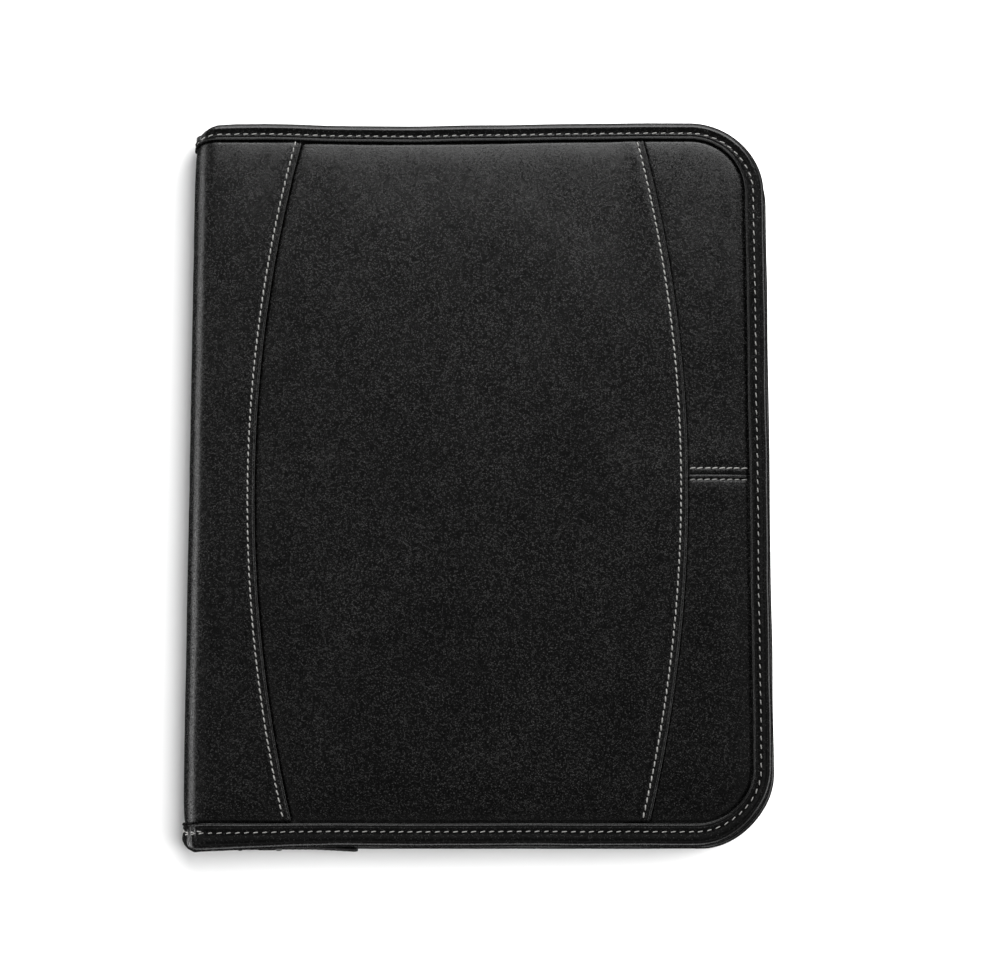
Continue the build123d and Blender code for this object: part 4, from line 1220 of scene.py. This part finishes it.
top_sheet = make("pad_top_leaf", xyz(top_x, top_y, pad_high[2] + lift), grid_faces(nx, ny), PAPER)
stand_in(pad, "pad_sheets", body="writing_pad")
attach(top_sheet, "writing_pad")

backing = make_joined("pad_backing_board", [slab(card_low, card_high, 1.2)], CHIPBOARD, outward=True,
                      is_smooth=False)
stand_in(backing, "pad_backing", body="writing_pad")

HEAD_TAPE = speckled("head_tape_paper", (0.02, 0.03, 0.06, 1), (0.05, 0.06, 0.1, 1), 1200.0, 0.6)
tape_depth = 14  # how far the head tape comes down over the top leaf
tape_top, tape_foot = pad_high[2] + 0.55, card_low[2]
sections = []
for x in np.linspace(head_low[0] - 0.1, head_high[0] + 0.1, 40):
    ragged = 0.25 * math.sin(x * 0.7) * math.sin(x * 0.23) - tape_depth
    outline = [(ragged, tape_top), (-1.2, tape_top + 0.1), (0.35, tape_top - 0.4), (0.5, tape_top - 1.2),
               (0.5, tape_foot + 0.8), (0.3, tape_foot + 0.05), (-0.2, tape_foot + 0.05),
               (0.05, tape_foot + 0.8), (0.05, tape_top - 1.0), (-1.2, tape_top - 0.4),
               (ragged, tape_top - 0.35)]
    sections.append([(x, pad_high[1] + y, z) for y, z in outline])
head_tape = solid("pad_head_tape", sections, HEAD_TAPE, is_smooth=False)
stand_in(head_tape, "pad_head_binding", body="writing_pad")


def pocket_foot(x, low, high, edge, foot_radius):
    """Heights of a pocket's foot edge: with corners of its own radius, or following the cover's corner."""
    if foot_radius is None:
        if low[1] >= -(HALF - CORNER_R):
            return np.full(len(x), low[1])
        return np.maximum(-(HALF - CORNER_R) - corner_reach(x - (edge - CORNER_R), CORNER_R - 9.0), low[1])
    over = np.maximum(low[0] + foot_radius - x, x - (high[0] - foot_radius))
    return low[1] + foot_radius - corner_reach(over, foot_radius)


def pocket_panel(node, body, lap, mouth_rise=0.0, foot_radius=None, scoop=0.0):
    """A leather pocket: crowned face, rolled mouth at its head edge, and stitching 2 mm in all round.

    lap is how far its face lies inside the CAD pocket's, and scoop how deep its mouth is cut."""
    low, high = box_mm(node)
    front = body == "front_cover"
    edge, face, sign = (FRONT_EDGE, low[2] + lap, -1) if front else (BACK_EDGE, high[2] - lap, 1)
    x = spaced(low[0], high[0], 0.8, 0.8, 3.0)
    ys = spaced(low[1], high[1], 0.8, 0.5, 3.0)
    wave = Wobble(60 + int(high[1]), 60, 0.1, 7)
    bottom = pocket_foot(x, low, high, edge, foot_radius)
    mouth = high[1] - scoop * (1 - ((2 * (x - low[0]) / (high[0] - low[0]) - 1) ** 2)) ** 2
    rows = []
    for t in (ys - low[1]) / (high[1] - low[1]):
        y = bottom + (mouth - bottom) * t
        border = np.minimum.reduce([x - low[0], high[0] - x, y - bottom])
        crown = 0.45 * (1 - fading(border, 6)) - 0.3 * bell(border, 2.0, 0.8)
        crown += mouth_rise * smooth(high[1] - 30, high[1], y) * (1 - fading(border, 14))
        sink = 0.75 * (1 - smooth(0.0, 0.8, border)) + 0.25 * bell(mouth - y, 2.6, 0.7)
        rows.append(xyz(x, y, face + sign * (crown - sink + 0.6 * wave.at(x, y))))
    up = UP * sign
    top = np.array(rows)
    rows += curled(rows[-1], np.array([0.0, 1.0, 0.0]), up, roll=0.4, tuck=2.5)
    stand_in(sheet_mesh(f"{node}_leather", rows, INNER, flip=not front), node, body=body)

    def nearest(values, wanted):
        return np.argmin(np.abs(values - wanted))

    left, right, foot = nearest(x, low[0] + 2), nearest(x, high[0] - 2), nearest(ys, low[1] + 2)
    loop = np.concatenate([top[foot:, left][::-1], top[foot, left: right + 1], top[foot:, right]])
    mouth_line = top[nearest(ys, high[1] - 2.6), left: right + 1]
    threads = [stitch_parts(line, up, radius=0.26, lift=0.26) for line in (loop, mouth_line)]
    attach(make_joined(f"{node}_leather_stitches", threads, DARK_THREAD), body)


pocket_panel("pad_pocket", "back_cover", 0.35)
pocket_panel("document_pocket", "front_cover", 0.35, mouth_rise=0.3, scoop=9.0)
for number in (1, 2, 3):
    pocket_panel(f"card_pocket_{number}", "front_cover", 0.3, mouth_rise=0.15, foot_radius=6.0, scoop=1.5)

loop_low, loop_high = box_mm("pen_loop")
loop_x, loop_y, loop_z = (loop_low + loop_high) / 2
loop_r = (loop_high[2] - loop_low[2]) / 2
turn = np.linspace(-math.pi / 2 + 0.06, 3 * math.pi / 2 - 0.06, 40)
spread = 0.09 * np.maximum(0.0, -np.sin(turn)) ** 3  # its foot is a little wider than round
rings = []
for y in np.linspace(loop_low[1], loop_high[1], 41):
    rib = 0.09 * abs(math.sin(math.pi * (y - loop_low[1]) / RIB_PITCH))
    hem = 0.12 * bell(abs(y - loop_y), 9.2, 0.7)
    outer, inner = (xyz(loop_x + (r + spread) * np.cos(turn) * (1 + 0.05 * np.sin(turn)), y,
                        loop_z + r * np.sin(turn)) for r in (loop_r - 0.1 + rib + hem, loop_r - 0.95))
    rings.append(np.concatenate([outer, inner[::-1]]))
pen_loop = solid("pen_loop_elastic", rings, ELASTIC)
stand_in(pen_loop, "pen_loop", body="back_cover")

# ---- floor, light, camera ------------------------------------------------------------------------------
floor_mesh = bpy.data.meshes.new("floor")
floor_mesh.from_pydata([(-6, -6, 0), (6, -6, 0), (6, 6, 0), (-6, 6, 0)], [], [(0, 1, 2, 3)])
floor = bpy.data.objects.new("floor", floor_mesh)
bpy.context.scene.collection.objects.link(floor)
paper = Nodes.material("floor_paper")
floor_mesh.materials.append(paper.set(Base_Color=grey(0.9), Roughness=0.9, Specular_IOR_Level=0.1))
floor.visible_glossy = False

# the room: a ring of light at the horizon, fading upwards, with a faint cove above
HORIZON, HORIZON_TOP, CEILING_FADE = 2.7, 0.1, -10.0  # brightness, sine of its height, fall above it
AMBIENT = 0.035
COVE, COVE_HEIGHT, COVE_WIDTH = 0.18, 0.86, 0.07  # a faint band of light high up
FLOOR_EDGE = (-0.1, 0.03)  # sines of the heights between which the ring starts
WEST, SOUTH, EAST_WEST = 0.35, 0.1, 0.7  # how much stronger it is on those sides

world = bpy.data.worlds.new("studio")
bpy.context.scene.world = world
sky = Nodes(world, "Background")
east, north, rise = sky.add("ShaderNodeSeparateXYZ", {0: sky.texture.outputs["Generated"]}).outputs
above = sky.math("MAXIMUM", sky.minus(rise, HORIZON_TOP), 0.0)
fade = sky.math("EXPONENT", sky.times(above, CEILING_FADE))
from_cove = sky.math("DIVIDE", sky.minus(rise, COVE_HEIGHT), COVE_WIDTH)
cove = sky.math("EXPONENT", sky.times(sky.times(from_cove, from_cove), -1.0))
east_squared, north_squared = sky.times(east, east), sky.times(north, north)
level = sky.math("ADD", east_squared, north_squared)
fourth = sky.times_plus(east_squared, east_squared, sky.times(north_squared, north_squared))
walls = sky.math("DIVIDE", fourth, sky.math("MAXIMUM", sky.times(level, level), 0.01))
walls = sky.times_plus(walls, 1.5, -0.5)  # 1 square to the case, a quarter on its diagonals
sides = sky.times_plus(east, -WEST, sky.times_plus(north, -SOUTH, 1.0))
sides = sky.times(sky.times_plus(east_squared, EAST_WEST, sides), walls)
ring = sky.times(sky.times(fade, sky.ramp(rise, *FLOOR_EDGE)), sides)
glow = sky.times_plus(ring, HORIZON, sky.times_plus(cove, COVE, AMBIENT))
sky.set(Color=grey(1.0), Strength=glow)


def softbox(name, place, width, height, power):
    """A soft area light aimed at the case."""
    data = bpy.data.lights.new(name, "AREA")
    data.shape = "RECTANGLE"
    data.size, data.size_y = width, height
    data.energy = power
    lamp = bpy.data.objects.new(name, data)
    lamp.location = place
    lamp.rotation_euler = (-Vector(place)).to_track_quat("-Z", "Y").to_euler()
    bpy.context.scene.collection.objects.link(lamp)
    return lamp


def keep_to(lamp, name, state):
    """Lets a light reach the floor only (INCLUDE), or everything but the floor (EXCLUDE)."""
    group = bpy.data.collections.new(name)
    group.objects.link(floor)
    group.collection_objects[0].light_linking.link_state = state
    lamp.light_linking.receiver_collection = group


keep_to(softbox("head_light", (0.1, 0.85, 0.68), 1.0, 0.58, 6.4), "head_light_keeps_off", "EXCLUDE")
keep_to(softbox("floor_light", (1.15, 0.45, 1.5), 3.2, 3.2, 175), "floor_light_reaches", "INCLUDE")

LOOK_AT = Vector((8.95, 3.95, 0.0)) * MM
DISTANCE = 1.5446
TILT = math.radians(11.52)
camera_data = bpy.data.cameras.new("camera")
camera_data.lens = 120
camera_data.sensor_width = 36
camera = bpy.data.objects.new("camera", camera_data)
camera.location = LOOK_AT + Vector((0, -math.sin(TILT), math.cos(TILT))) * DISTANCE
camera.rotation_euler = (TILT, 0, 0)
bpy.context.scene.collection.objects.link(camera)
bpy.context.scene.camera = camera
bpy.context.scene.view_settings.view_transform = "Standard"
